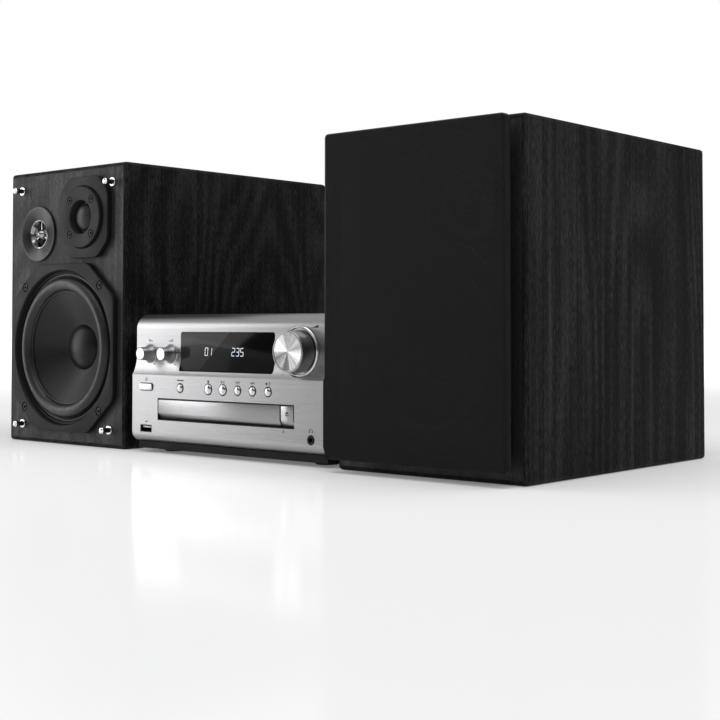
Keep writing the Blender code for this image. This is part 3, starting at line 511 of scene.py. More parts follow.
def window_glass_painted_reflection(name):
    """The display's smoked window: near black, with a painted reflection: a lighter part to the left of a slanted
    line, fainter towards the bottom.
    """
    look = Look(name, (0.008, 0.008, 0.009), 0.08, Specular_IOR_Level=0.06)
    place = look.parts(look.coordinates())
    # Painted reflection: the colour is lighter to the left of a slanted line and fainter towards the bottom.
    slant = 1.15
    line = look.math("SUBTRACT", look.math("MULTIPLY", place["Z"], slant), place["X"])
    side = look.remap(line, 13.4 * MM, 13.8 * MM, 0.0, 1.0)
    reflection_fade = look.remap(place["Z"], -16 * MM, 16 * MM, 0.55, 1.0)
    look.colour_from(look.math("MULTIPLY", side, reflection_fade), (0.003, 0.003, 0.0035), (0.026, 0.026, 0.027))
    return look.material


def lamp(name, colour, strength):
    look = Look(name, colour, 0.4, Emission_Strength=strength)
    look.set("Emission Color", (*colour, 1.0))
    look.roughness_from(look.noise(look.place(900), 2.0), 0.35, 0.5)
    return look.material


def circuit(name):
    """Green solder mask with faint tracks."""
    look = Look(name, (0.012, 0.07, 0.03), 0.35)
    tracks = look.node("ShaderNodeTexBrick", {"Scale": 1.0})
    look.link(look.place(220), tracks.inputs["Vector"])
    look.colour_from(tracks.outputs["Fac"], (0.01, 0.06, 0.025), (0.03, 0.12, 0.05))
    look.bump(tracks.outputs["Fac"], 0.03 * MM, 0.5)
    return look.material


LOOKS = {
    "wood": wood_vinyl("black_wood_vinyl", (0.0012, 0.0012, 0.0014), (0.036, 0.036, 0.037), 0.11),
    "wood_front": wood_vinyl("black_wood_front", (0.0015, 0.0015, 0.0017), (0.03, 0.03, 0.031), 0.4),
    "moulding": moulding("black_moulding"),
    "smooth": moulding("smooth_black_plastic", (0.008, 0.008, 0.0085), 0.34, 3200, 0.008),
    "rubber": rubber("surround_rubber"),
    "foot": rubber("foot_rubber", 0.75),
    "cone": cone_paper("cone_paper"),
    "dome": moulding("silk_dome", (0.02, 0.02, 0.022), 0.32, 1800, 0.03),
    "cap": moulding("dust_cap", (0.006, 0.006, 0.0063), 0.34, 3200, 0.006),
    "lacquer": spun("turned_black_lacquer", (0.012, 0.012, 0.013), 0.26, 0.92, 0.65),
    "chrome": polished("chrome_trim", (0.32, 0.32, 0.325), 0.07),
    "cloth": knitted("grille_cloth"),
    "gloss": gloss_black("gloss_black"),
    "silver": brushed("silver_panel", (0.335, 0.335, 0.34)),
    "trim": polished("silver_trim", (0.55, 0.55, 0.56), 0.16),
    "pan": moulding("black_base_pan", (0.004, 0.004, 0.0042), 0.6),
    # The volume knob's spun face carries painted highlights and shade in its colour.
    "spun": turned_face("spun_aluminium_painted_wedges", (0.2, 0.2, 0.205), (0.66, 0.66, 0.67), 0.27),
    "knob_face": polished("knob_face", (0.8, 0.8, 0.81), 0.34),
    "turned": spun("turned_side", (0.3, 0.3, 0.305), 0.34, 0.6),
    "steel": painted_steel("black_steel"),
    "bare": brushed("bare_steel", (0.5, 0.5, 0.51), 0.35),
    "print": moulding("grey_print", (0.025, 0.025, 0.026), 0.6),
    "digits": lamp("display_segments", (0.72, 0.8, 0.88), 0.6),
    "board": circuit("circuit_board"),
    "nylon": moulding("natural_nylon", (0.7, 0.68, 0.6), 0.45),
    "red": moulding("red_plastic", (0.35, 0.01, 0.01), 0.35),
    "white": moulding("white_plastic", (0.6, 0.6, 0.58), 0.4),
    "brass": polished("gold_contact", (0.8, 0.6, 0.25), 0.2),
    "window": window_glass_painted_reflection("window_glass_painted_reflection"),
}


def dress(piece, body, look, replaces=()):
    """Gives a new piece its material and slot and its body, and hides the CAD nodes that it stands for."""
    piece.data.materials.clear()
    piece.data.materials.append(LOOKS[look])
    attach(piece, body)
    if replaces:
        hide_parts(*replaces)
    return piece


def repaint(node, look):
    """Gives a kept CAD node its material."""
    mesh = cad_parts[node].data
    mesh.materials.clear()
    mesh.materials.append(LOOKS[look])


# ---------------------------------------------------------------- speakers

TWEETER_FRAME_FACE = 4.6 * MM
PEGS = ((63.4 * MM, 222 * MM), (60.7 * MM, 15.2 * MM))  # sideways from the speaker's middle, and up


def socket_screw(x, z, forward, radius):
    """A dark pan-head screw with a six-sided socket."""
    steps = ((0, 0.62), (0.55, 0.6), (0.8, 0.45), (0.95, 0.15), (1, -0.1), (1, -0.6), (0, -0.6))
    profile = [(radius * a, b) for a, b in steps]
    head = turned("screw", profile, on_face(x, forward, z), 32)
    reach = 0.45 * radius * MM
    hexagon = [(reach * math.cos(k * math.pi / 3), reach * math.sin(k * math.pi / 3)) for k in range(6)]
    return carve(head, slab("socket", hexagon, forward + 2 * MM, forward - 0.5 * MM, (x, z)))


def screw_down(side, unit, piece, corners, forward, seat, sunk, radius):
    """Gives a moulded piece its look, with a seat and a socket screw at each corner."""
    for x, z in corners:
        carve(piece, turned("seat", seat, on_face(x, forward, z), 40))
    dress(piece, f"{side}_speaker", "moulding")
    screws = [socket_screw(x, z, forward - sunk, radius) for x, z in corners]
    dress(merge(f"{side}_{unit}_screws", screws), f"{side}_speaker", "smooth")


def cross_screw(profile, place, reach, half, floor, over):
    """A screw seen from behind, with a cross cut from its floor to over its head, in millimetres."""
    tools = [
        block("cross", place + Vector((-a, floor, -b)) * MM, place + Vector((a, over, b)) * MM)
        for a, b in ((reach, half), (half, reach))
    ]
    return carve(turned("head", profile, place, 32, facing=1), *tools)


def woofer(side):
    body = f"{side}_speaker"
    box = size(f"{side}_woofer_basket")
    middle = centre(f"{side}_woofer_basket")
    x, z = middle.x, middle.z
    proud = front_of(f"{side}_woofer_basket")
    points = soft_corners(octagon(box.x, box.z, 35 * MM, 29.5 * MM), 6 * MM)
    frame_piece = slab(f"{side}_woofer_frame", points, proud, 0.2 * MM, (x, z), 0.7 * MM)
    mouth = [
        (0, 9), (67.6, 9), (67.6, 4.8), (67, 4.3), (66.3, 3.2), (65.6, 0.4), (63.9, -0.2), (63.7, -3), (0, -3),
    ]
    carve(frame_piece, turned("mouth", mouth, on_face(x, 0, z), 128))
    reach = 52 * MM
    corners = four_about(x, z, reach, reach + 0.6 * MM)
    seat = [(0, 3), (4.3, 3), (4.3, 0.3), (4.0, 0), (3.8, -0.9), (0, -0.9)]
    screw_down(side, "woofer", frame_piece, corners, proud, seat, 0.6 * MM, 3.4)

    well = [
        (63.8, 0.5), (63.8, -2), (58.5, -2), (58.5, -12), (38, -40), (18.5, -44), (18.5, -46), (24, -46.2),
        (41, -42), (64.6, -12), (64.6, 0.5),
    ]
    basket = turned(f"{side}_basket_well", well, on_face(x, 0, z), 72, closed=True)
    dress(basket, body, "moulding", (f"{side}_woofer_basket",))

    roll = millimetres([(63.5, -1.7), (63.5, -0.9), (63.1, -0.4), (62.4, -0.35), (61.8, -0.8), (61.2, -1.1)])
    roll += arc((54.8 * MM, -1.5 * MM), 6.1 * MM, 10, 168, 26)
    roll += millimetres([(48.6, -0.6), (48.0, -0.9), (47.9, -1.7)])
    surround = lathe(f"{side}_surround_roll", roll, on_face(x, 0, z), 160, closed=True)
    dress(surround, body, "rubber", (f"{side}_woofer_surround",))

    flare = [(19.4 + 29.2 * t, -19.2 + 17.4 * t ** 1.1) for t in [i / 20 for i in range(21)]]
    back = [(48.5, -2.6), (47, -4), (20.2, -23), (16.5, -24), (16.5, -52), (0, -52), (0, -21)]
    cone = turned(f"{side}_cone", flare + back, on_face(x, 0, z), 160)
    dress(cone, f"{side}_cone", "cone", (f"{side}_woofer_cone",))
    cap = [(20.2 * math.sin(t), -20.6 + 7.6 * math.cos(t)) for t in [math.radians(6 * i) for i in range(16)]]
    cap += [(19.6, -19.1), (19.4, -20.4), (0, -20.8)]
    dress(turned(f"{side}_dust_cap", cap, on_face(x, 0, z), 96), f"{side}_cone", "cap")
    repaint(f"{side}_woofer_magnet", "bare")


def tweeter(side):
    body = f"{side}_speaker"
    node = f"{side}_tweeter"
    box, middle = size(node), centre(node)
    x, z = middle.x, middle.z
    points = soft_corners(octagon(box.x, box.z, 14 * MM, 14 * MM), 5 * MM)
    plate = slab(f"{side}_tweeter_frame", points, TWEETER_FRAME_FACE, 0.2 * MM, (x, z), 0.6 * MM)
    hollow = [(0, 9), (27.4, 9), (27.4, 4.8), (26.8, 4.4), (26.6, 2.2), (0, 2.2)]
    shaft = [(0, 6), (24, 6), (24, -3), (0, -3)]
    carve(plate, turned("hollow", hollow, on_face(x, 0, z)), turned("shaft", shaft, on_face(x, 0, z)))
    dress(plate, body, "moulding")

    face = [
        (26, 2), (26, 6.4), (25.8, 6.9), (25.3, 7.2), (15.2, 7.2), (14.6, 7.0), (14.3, 6.5), (13.5, 1.4),
        (13.1, 0.8), (11.8, 0.6), (11.8, -0.5), (22, -0.5), (22, -18), (23.8, -18), (23.8, 1.6),
    ]
    disc = turned(f"{side}_tweeter_plate", face, on_face(x, 0, z), 128, closed=True)
    reach = 14.6 * MM
    seat = [(0, 3), (3.6, 3), (3.6, 0.2), (3.4, 0), (3.3, -0.7), (0, -0.7)]
    screw_down(side, "tweeter", disc, four_about(x, z, reach, reach), 7.2 * MM, seat, 0.45 * MM, 3.0)

    dome = [(11.7 * math.sin(t), 0.8 + 5.5 * math.cos(t)) for t in [math.radians(6 * i) for i in range(16)]]
    dome += [(12.6, 0.9), (12.9, 0.5), (12.9, -0.4), (0, -0.4)]
    dress(turned(f"{side}_tweeter_dome", dome, on_face(x, 0, z), 80), body, "dome", (node,))


def super_tweeter(side):
    body = f"{side}_speaker"
    node = f"{side}_super_tweeter"
    middle = centre(node)
    place = on_face(middle.x, 0, middle.z)
    ring = [
        (24.3, 0.3), (24.3, 1.1), (23.9, 1.6), (23.2, 1.75), (22.6, 1.6), (13.2, 0.2), (12.9, 0.0),
        (12.9, -2), (17.2, -2), (17.2, 0.3),
    ]
    dress(turned(f"{side}_super_ring", ring, place, 128, closed=True), body, "lacquer", (node,))
    mouth = [
        (12.8, -1.5), (12.8, 0.25), (12.2, 0.55), (11.6, 0.3), (10.6, -2), (8.6, -6.2), (8.6, -8), (12.8, -8),
    ]
    dress(turned(f"{side}_super_mouth", mouth, place, 96, closed=True), body, "chrome")
    plug = [(0, 0.9), (1.2, 0.7), (2.4, -0.2), (3.6, -2.2), (4.8, -4.8), (5.4, -7.2), (5.4, -8), (0, -8)]
    dress(turned(f"{side}_super_plug", plug, place, 64), body, "chrome")
    throat = [(0, -7.2), (12, -7.2), (12, -16), (0, -16)]
    dress(turned(f"{side}_super_throat", throat, place, 48), body, "gloss")
    bars = []
    for turn in (0.5, 2.6, 4.7):
        bar = block("bar", (4 * MM, -0.9 * MM, -0.55 * MM), (10.8 * MM, 0.9 * MM, 0.55 * MM), 0.3 * MM)
        bar.data.transform(Matrix.Rotation(turn, 4, "Y") @ Matrix.Translation(bar.location))
        bar.location = place + Vector((0, 3.4 * MM, 0))
        bars.append(bar)
    dress(merge(f"{side}_super_struts", bars), body, "chrome")


def peg(name, x, z):
    """A grille peg: a bright base ring, a black stem and a bright slotted tip."""
    ring = [(0, 0), (3.8, 0), (3.85, 0.7), (3.5, 1.2), (2.4, 1.3), (2.2, 1.0), (0, 1.0)]
    stem = [(0, 0.9), (2.1, 0.9), (2.0, 6.4), (0, 6.4)]
    tip = [(0, 6.2), (2.3, 6.2), (2.7, 6.7), (2.75, 8.2), (2.2, 9.2), (1.2, 9.65), (0, 9.7)]
    place = on_face(x, 0, z)
    slot = block("slot", place + Vector((-3.2, -10.5, -0.35)) * MM, place + Vector((3.2, -8.3, 0.35)) * MM)
    bright = [turned("ring", ring, place, 40), carve(turned("tip", tip, place, 40), slot)]
    return bright, turned("stem", stem, place, 32)


def baffle(side):
    body = f"{side}_speaker"
    node = f"{side}_front_baffle"
    box, middle = size(node), centre(node)
    x, z = middle.x, middle.z
    outline = rounded(box.x + 0.5 * MM, box.z + 0.5 * MM, 0.3 * MM)
    board = slab(f"{side}_baffle_board", outline, 0, -15 * MM, (x, z), 0.06 * MM, 1)
    for unit, radius in (("woofer_basket", 65.2), ("tweeter", 24.8), ("super_tweeter", 17.8)):
        hole = centre(f"{side}_{unit}")
        carve(board, rod(radius * MM, hole.x, hole.z, 20 * MM, -20 * MM, 96))
    dress(board, body, "wood_front", (node,))
    bright, stems = [], []
    for offset, height in PEGS:
        for hand in (-1, 1):
            shiny, stem = peg("peg", x + hand * offset, height)
            bright += shiny
            stems.append(stem)
    dress(merge(f"{side}_peg_metal", bright), body, "trim")
    dress(merge(f"{side}_peg_stems", stems), body, "smooth")


def bass_port(side):
    node = f"{side}_port_tube"
    middle = centre(node)
    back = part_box(node)[1].y
    profile = [
        (17.5, -90), (20.3, -90), (20.3, -1.7), (27, -1.7), (27, -0.8), (26.4, -0.15), (25.4, 0), (24, -0.1),
    ]
    deep, wide = 8.9, 6.5  # the mouth's round-over
    profile += [(17.5 + (a - 24 + deep) * wide / deep, b) for a, b in arc((24, -9), deep, 90, 180, 14)[1:]]
    tube = turned(f"{side}_port", profile, (middle.x, back, middle.z), 96, closed=True, facing=1)
    dress(tube, f"{side}_speaker", "moulding", (node,))


def terminals(side):
    """The sunken cup at the back with its two binding posts."""
    body = f"{side}_speaker"
    node = f"{side}_terminal_plate"
    box, middle = size(node), centre(node)
    x, z = middle.x, middle.z
    rear = back_of(node)
    plate = slab("plate", rounded(box.x, box.z, 5 * MM), rear + 1.7 * MM, rear, (x, z), 0.5 * MM)
    shell = slab("shell", rounded(62 * MM, 38 * MM, 6 * MM), rear + 24 * MM, rear + 0.3 * MM, (x, z), 0.4 * MM)
    hollow = slab("hollow", rounded(58 * MM, 34 * MM, 4.5 * MM), rear + 22 * MM, rear - 5 * MM, (x, z))
    cup = carve(plate, shell, operation="UNION")
    dress(carve(cup, hollow), body, "moulding", (node,))

    floor = rear + 22 * MM
    count = 24 * 4  # each rib of the cap takes four points, two of them low
    cap = []
    for i in range(count):
        angle, radius = 2 * math.pi * i / count, (5.5 - 0.35 * (i % 4 > 1)) * MM
        cap.append((radius * math.cos(angle), radius * math.sin(angle)))
    stem = [(0, 0.1), (4.6, 0.1), (4.6, 1.6), (3.1, 1.8), (3.1, 7.1), (0, 7.1)]
    pin = [(0, 19), (1.9, 19), (1.6, 19.5), (0, 19.5)]
    metal = []
    for across, look in ((x - 15 * MM, "red"), (x + 15 * MM, "smooth")):
        name = f"{side}_post_{look}"
        knob = slab(name, cap, floor - 7 * MM, floor - 19 * MM, (across, z), 0.25 * MM, 2)
        dress(knob, body, look)
        metal += [turned("metal", profile, on_face(across, floor, z), 32, facing=1) for profile in (stem, pin)]
    dress(merge(f"{side}_post_metal", metal), body, "brass")
    head = [(0, -1.2), (2.9, -1.2), (2.9, -0.5), (2.2, -0.05), (0, 0)]
    corners = four_about(x, z, 37 * MM, 23 * MM)
    screws = [cross_screw(head, on_face(across, rear, up), 1.5, 0.3, -0.7, 0.5) for across, up in corners]
    dress(merge(f"{side}_plate_screws", screws), body, "bare")


def grille():
    """A moulded frame with stretched cloth, wrapped round its edges."""
    node = "right_grille"
    (low, high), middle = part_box(node), centre(node)
    width, height, place = high.x - low.x, high.z - low.z, (middle.x, middle.z)
    front, back = front_of(node), back_of(node)
    skin, rail = 0.7 * MM, 8 * MM
    outline = rounded(width - 2 * skin, height - 2 * skin, 2.6 * MM)
    rim = slab("right_grille_frame", outline, front - skin - 0.3 * MM, back, place, 1.6 * MM)
    inside = octagon(width - 2 * rail, height - 2 * rail, 26 * MM, 26 * MM)
    carve(rim, slab("opening", inside, front + 5 * MM, back - 5 * MM, place))
    dress(rim, "grille", "smooth", (node,))
    ring = [(3.4, -1.2), (5.4, -1.2), (5.4, 3), (3.4, 3)]
    cups = []
    for offset, z in PEGS:
        for hand in (-1, 1):
            at = on_face(middle.x + hand * offset, back + 1.3 * MM, z)
            cups.append(turned("cup", ring, at, 32, closed=True))
    dress(merge("right_grille_cups", cups), "grille", "smooth")

    outline = rounded(width, height, 3 * MM)
    cloth = slab("right_grille_cloth", outline, front, back + 0.6 * MM, place, 2.2 * MM, 6, 80)
    work = bmesh.new()
    work.from_mesh(cloth.data)
    edge = max(v.co.y for v in work.verts) - 2.3 * MM
    gone = [f for f in work.faces if f.normal.y > 0.9 or f.calc_center_median().y > edge]
    bmesh.ops.delete(work, geom=gone, context="FACES")
    work.to_mesh(cloth.data)
    work.free()
    thick = cloth.modifiers.new("thickness", "SOLIDIFY")
    thick.thickness = skin - 0.1 * MM
    thick.offset = -1
    settle(cloth)
    dress(cloth, "grille", "cloth")


for name in SIDES:
    repaint(f"{name}_cabinet", "wood")
    baffle(name)
    woofer(name)
    tweeter(name)
    super_tweeter(name)
    bass_port(name)
    terminals(name)
grille()


# ---------------------------------------------------------------- receiver

UNIT = "receiver"
LOWER, UPPER = 4 * MM, -0.5 * MM  # how far forward the panel's two faces stand
CREASE, COVE_TOP, ROUND_START = 62.5 * MM, 78 * MM, 99 * MM
RISE, STEP = COVE_TOP - CREASE, LOWER - UPPER
COVE = (RISE * RISE + STEP * STEP) / (2 * STEP)  # the radius of the cove between the two faces
TRAY_HOLE = (MIDDLE_X + 1.3 * MM, 35.5 * MM)  # the middle of the opening for the tray and its key
VOLUME = centre("volume_collar")
TONES = [centre("bass_knob"), centre("treble_knob")]
ROW = centre("play_button").z
ROUND_BUTTONS = ["selector", "stop", "play", "previous", "next", "pairing"]


def panel_outline(inset=0.0):
    """The front panel from the side: a round foot, an upright face, a cove, an upper face and a round top."""
    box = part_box("front_panel")
    bottom, top = box[0].z + inset, box[1].z - inset
    back = -18 * MM
    foot, crown = 8 * MM - inset, 12 * MM - inset
    sweep = math.degrees(math.asin(RISE / COVE))
    points = [(back, bottom)]
    points += arc((LOWER - inset - foot, bottom + foot), foot, -90, 0, 14)
    points += arc((UPPER + COVE - inset, COVE_TOP), COVE, 180 + sweep, 180, 16)
    points += arc((UPPER - inset - crown, ROUND_START), crown, 0, 90, 18)
    points.append((back, top))
    return points


def cutter(low, high, radius):
    """A round-cornered cutter through the panel between two (x, z) corners."""
    width, height = high[0] - low[0], high[1] - low[1]
    middle = (low[0] + width / 2, low[1] + height / 2)
    return slab("cutter", rounded(width, height, radius), 30 * MM, -9 * MM, middle)


def node_cutter(node, gap, radius):
    low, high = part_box(node)
    return cutter((low.x - gap, low.z - gap), (high.x + gap, high.z + gap), radius)


def front_panel():
    low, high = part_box("front_panel")
    gap, wall = 0.3 * MM, 3 * MM
    panel = side_prism("receiver_front_panel", panel_outline(), low.x, high.x)
    inner = [(f - (21 * MM if f < -17 * MM else 0), z) for f, z in panel_outline(wall)]
    carve(panel, side_prism("pocket", inner, low.x + wall, high.x - wall))
    power = centre("power_button").x
    jack = centre("headphone_socket")
    left, bottom, right, top = -74.3 * MM, 26.7 * MM, 76.9 * MM, 44.3 * MM
    tools = [
        node_cutter("display_window", gap, 2 * MM),
        cutter((MIDDLE_X + left, bottom), (MIDDLE_X + right, top), 0.5 * MM),
        node_cutter("usb_socket", gap, 0.4 * MM),
        cutter((power - 8.2 * MM, ROW - 3.2 * MM), (power + 8.2 * MM, ROW + 3.2 * MM), 1.9 * MM),
        rod(3.7 * MM, jack.x, jack.z),
    ]
    shaft = 3.6 * MM
    for knob, seat in ((VOLUME, size("volume_collar").x / 2 + gap), *((tone, 7.9 * MM) for tone in TONES)):
        tools += [rod(seat, knob.x, knob.z, back=UPPER), rod(shaft, knob.x, knob.z)]
    for name in ROUND_BUTTONS:
        node = f"{name}_button"
        tools.append(rod(size(node).x / 2 - 0.4 * MM, centre(node).x, ROW))
    for tool in tools:
        carve(panel, tool)
    dress(panel, UNIT, "silver", ("front_panel",))
    surround = slab("tray_surround", rounded(151 * MM, 17.4 * MM, 0.4 * MM), 3.6 * MM, -2.4 * MM, TRAY_HOLE)
    opening = slab("opening", rounded(149.9 * MM, 15.9 * MM, 0.3 * MM), 9 * MM, -9 * MM, TRAY_HOLE)
    dress(carve(surround, opening), UNIT, "moulding")


def display():
    low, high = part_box("display_window")
    left, right, bottom, top = low.x, high.x, low.z, high.z
    face = front_of("display_window")
    place = centre("display_window")
    cut, end, bulge = 1.6 * MM, 2.2 * MM, 0.5 * MM  # the right end bulges a little
    points = [
        (left + cut, bottom), (right - end, bottom), (right - bulge, bottom + cut), (right, place.z),
        (right - bulge, top - cut), (right - end, top), (left + cut, top), (left, top - cut), (left, bottom + cut),
    ]
    outline = soft_corners([(x - place.x, z - place.z) for x, z in points], 0.5 * MM, 3)
    pane = slab("display_pane", outline, face, face - 3.4 * MM, (place.x, place.z), 0.2 * MM)
    dress(pane, UNIT, "window", ("display_window",))

    segments = {"0": "abcdef", "1": "bc", "2": "abged", "3": "abgcd", "5": "afgcd"}
    tall, wide, thick, lean = 5.9 * MM, 3.0 * MM, 0.42 * MM, 0.12
    w, h = wide / 2, tall / 2
    bars = {
        "a": ((-w, h), (w, h)), "b": ((w, h), (w, 0)), "c": ((w, 0), (w, -h)), "d": ((-w, -h), (w, -h)),
        "e": ((-w, 0), (-w, -h)), "f": ((-w, h), (-w, 0)), "g": ((-w, 0), (w, 0)),
    }
    lit = []
    for digit, x in (("0", -21.5), ("1", -17), ("2", 8.6), ("3", 13.3), ("5", 18)):
        for key in segments[digit]:
            start, end = (Vector((px + lean * pz, pz)) for px, pz in bars[key])
            along = (end - start).normalized()
            across = Vector((-along.y, along.x)) * thick / 2
            a, b = start + along * thick * 0.6, end - along * thick * 0.6
            tip = along * thick / 2
            shape = [tuple(p) for p in (a - across, b - across, b + tip, b + across, a + across, a - tip)]
            lit.append(slab("bar", shape, face + HAIR, face - 0.1 * MM, (MIDDLE_X + x * MM, 81.8 * MM)))
    dress(merge("display_digits", lit), UNIT, "digits")


def volume_control():
    place = on_face(VOLUME.x, 0, VOLUME.z)
    collar = [
        (18.8, -0.1), (18.8, 1.7), (18.4, 2.2), (17.9, 2.4), (17.4, 2.2), (17.2, 1.3), (16.8, 0.8), (16.1, 0.7),
        (16.1, -0.1),
    ]
    dress(turned("volume_ring", collar, place, 128, closed=True), UNIT, "trim", ("volume_collar",))
    knob = [
        (13.6, 13.75), (14.1, 14), (14.7, 13.85), (15.15, 13.4), (15.3, 12.7), (15.3, 1.2), (15, 0.7),
        (14.6, 0.3), (3, 0.3), (3, -4.6), (0, -4.6), (0, 10), (13.6, 10),
    ]
    dress(turned("volume_side", knob, place, 128, closed=True), "volume", "turned", ("volume_knob",))
    face = [(0, 13.55), (6, 13.55), (13.55, 13.6), (13.58, 13.2), (0, 13.2)]
    dress(turned("volume_face", face, place, 128), "volume", "spun")


def tone_controls():
    side = [
        (4.55, 10.65), (4.8, 10.8), (5.05, 10.6), (5.15, 10.1), (5.3, 6), (5.7, 3.6), (6.3, 1.8), (7, 0.5),
        (7, 0), (3, 0), (3, -4.6), (0, -4.6), (0, 9), (4.55, 9),
    ]
    face = [(0, 10.55), (4.5, 10.55), (4.52, 10.2), (0, 10.2)]
    seats = []
    for place, node in zip(TONES, ("bass_knob", "treble_knob")):
        body = node.split("_")[0]
        at = on_face(place.x, 0, place.z)
        dress(turned(f"{body}_side", side, at, 80, closed=True), body, "turned", (node,))
        dress(turned(f"{body}_face", face, at, 64), body, "knob_face")
        ring = [(7.3, -0.6), (7.85, -0.6), (7.85, 0.1), (7.6, 0.35), (7.3, 0.1)]
        seats.append(turned("seat", ring, at, 80, closed=True))
    dress(merge("tone_rings", seats), UNIT, "trim")


def buttons():
    for name in ROUND_BUTTONS:
        node = f"{name}_button"
        radius = size(node).x / 2 / MM - 1.2
        profile = [
            (0, 5.2), (radius * 0.45, 5.14), (radius * 0.75, 4.98), (radius - 0.35, 4.75), (radius - 0.08, 4.4),
            (radius, 3.8), (radius, -1), (0, -1),
        ]
        place = on_face(centre(node).x, 0, ROW)
        dress(turned(f"{name}_cap", profile, place, 64), name, "trim", (node,))
    place = (centre("power_button").x, ROW)
    cap = slab("power_cap", rounded(15 * MM, 5 * MM, 1.4 * MM), 5.2 * MM, -1 * MM, place, 0.45 * MM, 4)
    dress(cap, "power", "trim", ("power_button",))


def tray():
    """The tray's front and its key share an outline: upright, then a lip that leans back to the lower edge."""
    points = millimetres([
        (-1.5, 27.8), (1.5, 27.8), (2.1, 28.3), (3.75, 32.1), (4, 32.7), (4, 42.9), (3.7, 43.2), (-1.5, 43.2),
    ])
    seam, round_over = 0.35 * MM, 0.12 * MM
    front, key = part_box("tray_front"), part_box("eject_button")
    bar = side_prism("tray_bar", points, front[0].x, front[1].x - seam, round_over)
    dress(bar, "tray", "silver", ("tray_front",))
    button = side_prism("eject_key", points, key[0].x + seam, key[1].x, round_over)
    side = 4 * MM
    stem = block("stem", on_face(key[0].x + side, -1 * MM, 36 * MM), on_face(key[1].x - side, -6 * MM, 40 * MM))
    dress(carve(button, stem, operation="UNION"), "eject", "silver", ("eject_button",))


def front_sockets():
    low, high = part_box("usb_socket")
    width, height = high.x - low.x, high.z - low.z
    middle = (low.x + width / 2, low.z + height / 2)
    shell = slab("usb_shell", rounded(width, height, 0.35 * MM), 3.8 * MM, -11 * MM, middle, 0.1 * MM)
    mouth = slab("mouth", rounded(width - 0.8 * MM, height - 0.8 * MM, 0.2 * MM), 8 * MM, -10 * MM, middle)
    dress(carve(shell, mouth), UNIT, "smooth", ("usb_socket",))
    inset = 0.9 * MM
    first = on_face(low.x + inset, 2.6 * MM, high.z - 2.3 * MM)
    second = on_face(high.x - inset, -10 * MM, high.z - 0.7 * MM)
    dress(block("usb_tongue", first, second, 0.2 * MM), UNIT, "turned")
    jack = centre("headphone_socket")
    ring = [
        (1.8, -9), (1.8, 4.0), (2.1, 4.4), (2.7, 4.6), (3.1, 4.5), (3.3, 4.1), (3.3, -2.2), (5, -2.2), (5, -11),
        (1.8, -11),
    ]
    piece = turned("headphone_ring", ring, on_face(jack.x, 0, jack.z), 64, closed=True)
    dress(piece, UNIT, "smooth", ("headphone_socket",))


def face_at(z):
    """How far forward the panel stands at a height, and its slope there in radians."""
    if z <= CREASE:
        return LOWER, 0.0
    if z >= COVE_TOP:
        return UPPER, 0.0
    drop = COVE_TOP - z
    return UPPER + COVE - math.sqrt(COVE * COVE - drop * drop), math.asin(drop / COVE)


def mark(points, x, z):
    """A small printed shape, in millimetres about its own middle, lying on the panel."""
    forward, slope = face_at(z)
    shape = slab("mark", millimetres(points), HAIR, -0.2 * MM, (0, 0))
    shape.location = on_face(x, forward, z)
    shape.rotation_euler.x = slope
    return shape


def strip(a, b, thick=0.45):
    """A straight stroke between two points in millimetres."""
    start, end = Vector(a), Vector(b)
    along = (end - start).normalized() * thick / 2
    across = Vector((-along.y, along.x))
    corners = (start - along - across, end + along - across, end + along + across, start - along + across)
    return [tuple(p) for p in corners]


def bow(radius, start, end, thick=0.4):
    """A curved stroke, angles in degrees."""
    return arc((0, 0), radius + thick / 2, start, end, 14) + arc((0, 0), radius - thick / 2, end, start, 14)


def shifted(points, across, up=0.0):
    return [(x + across, z + up) for x, z in points]


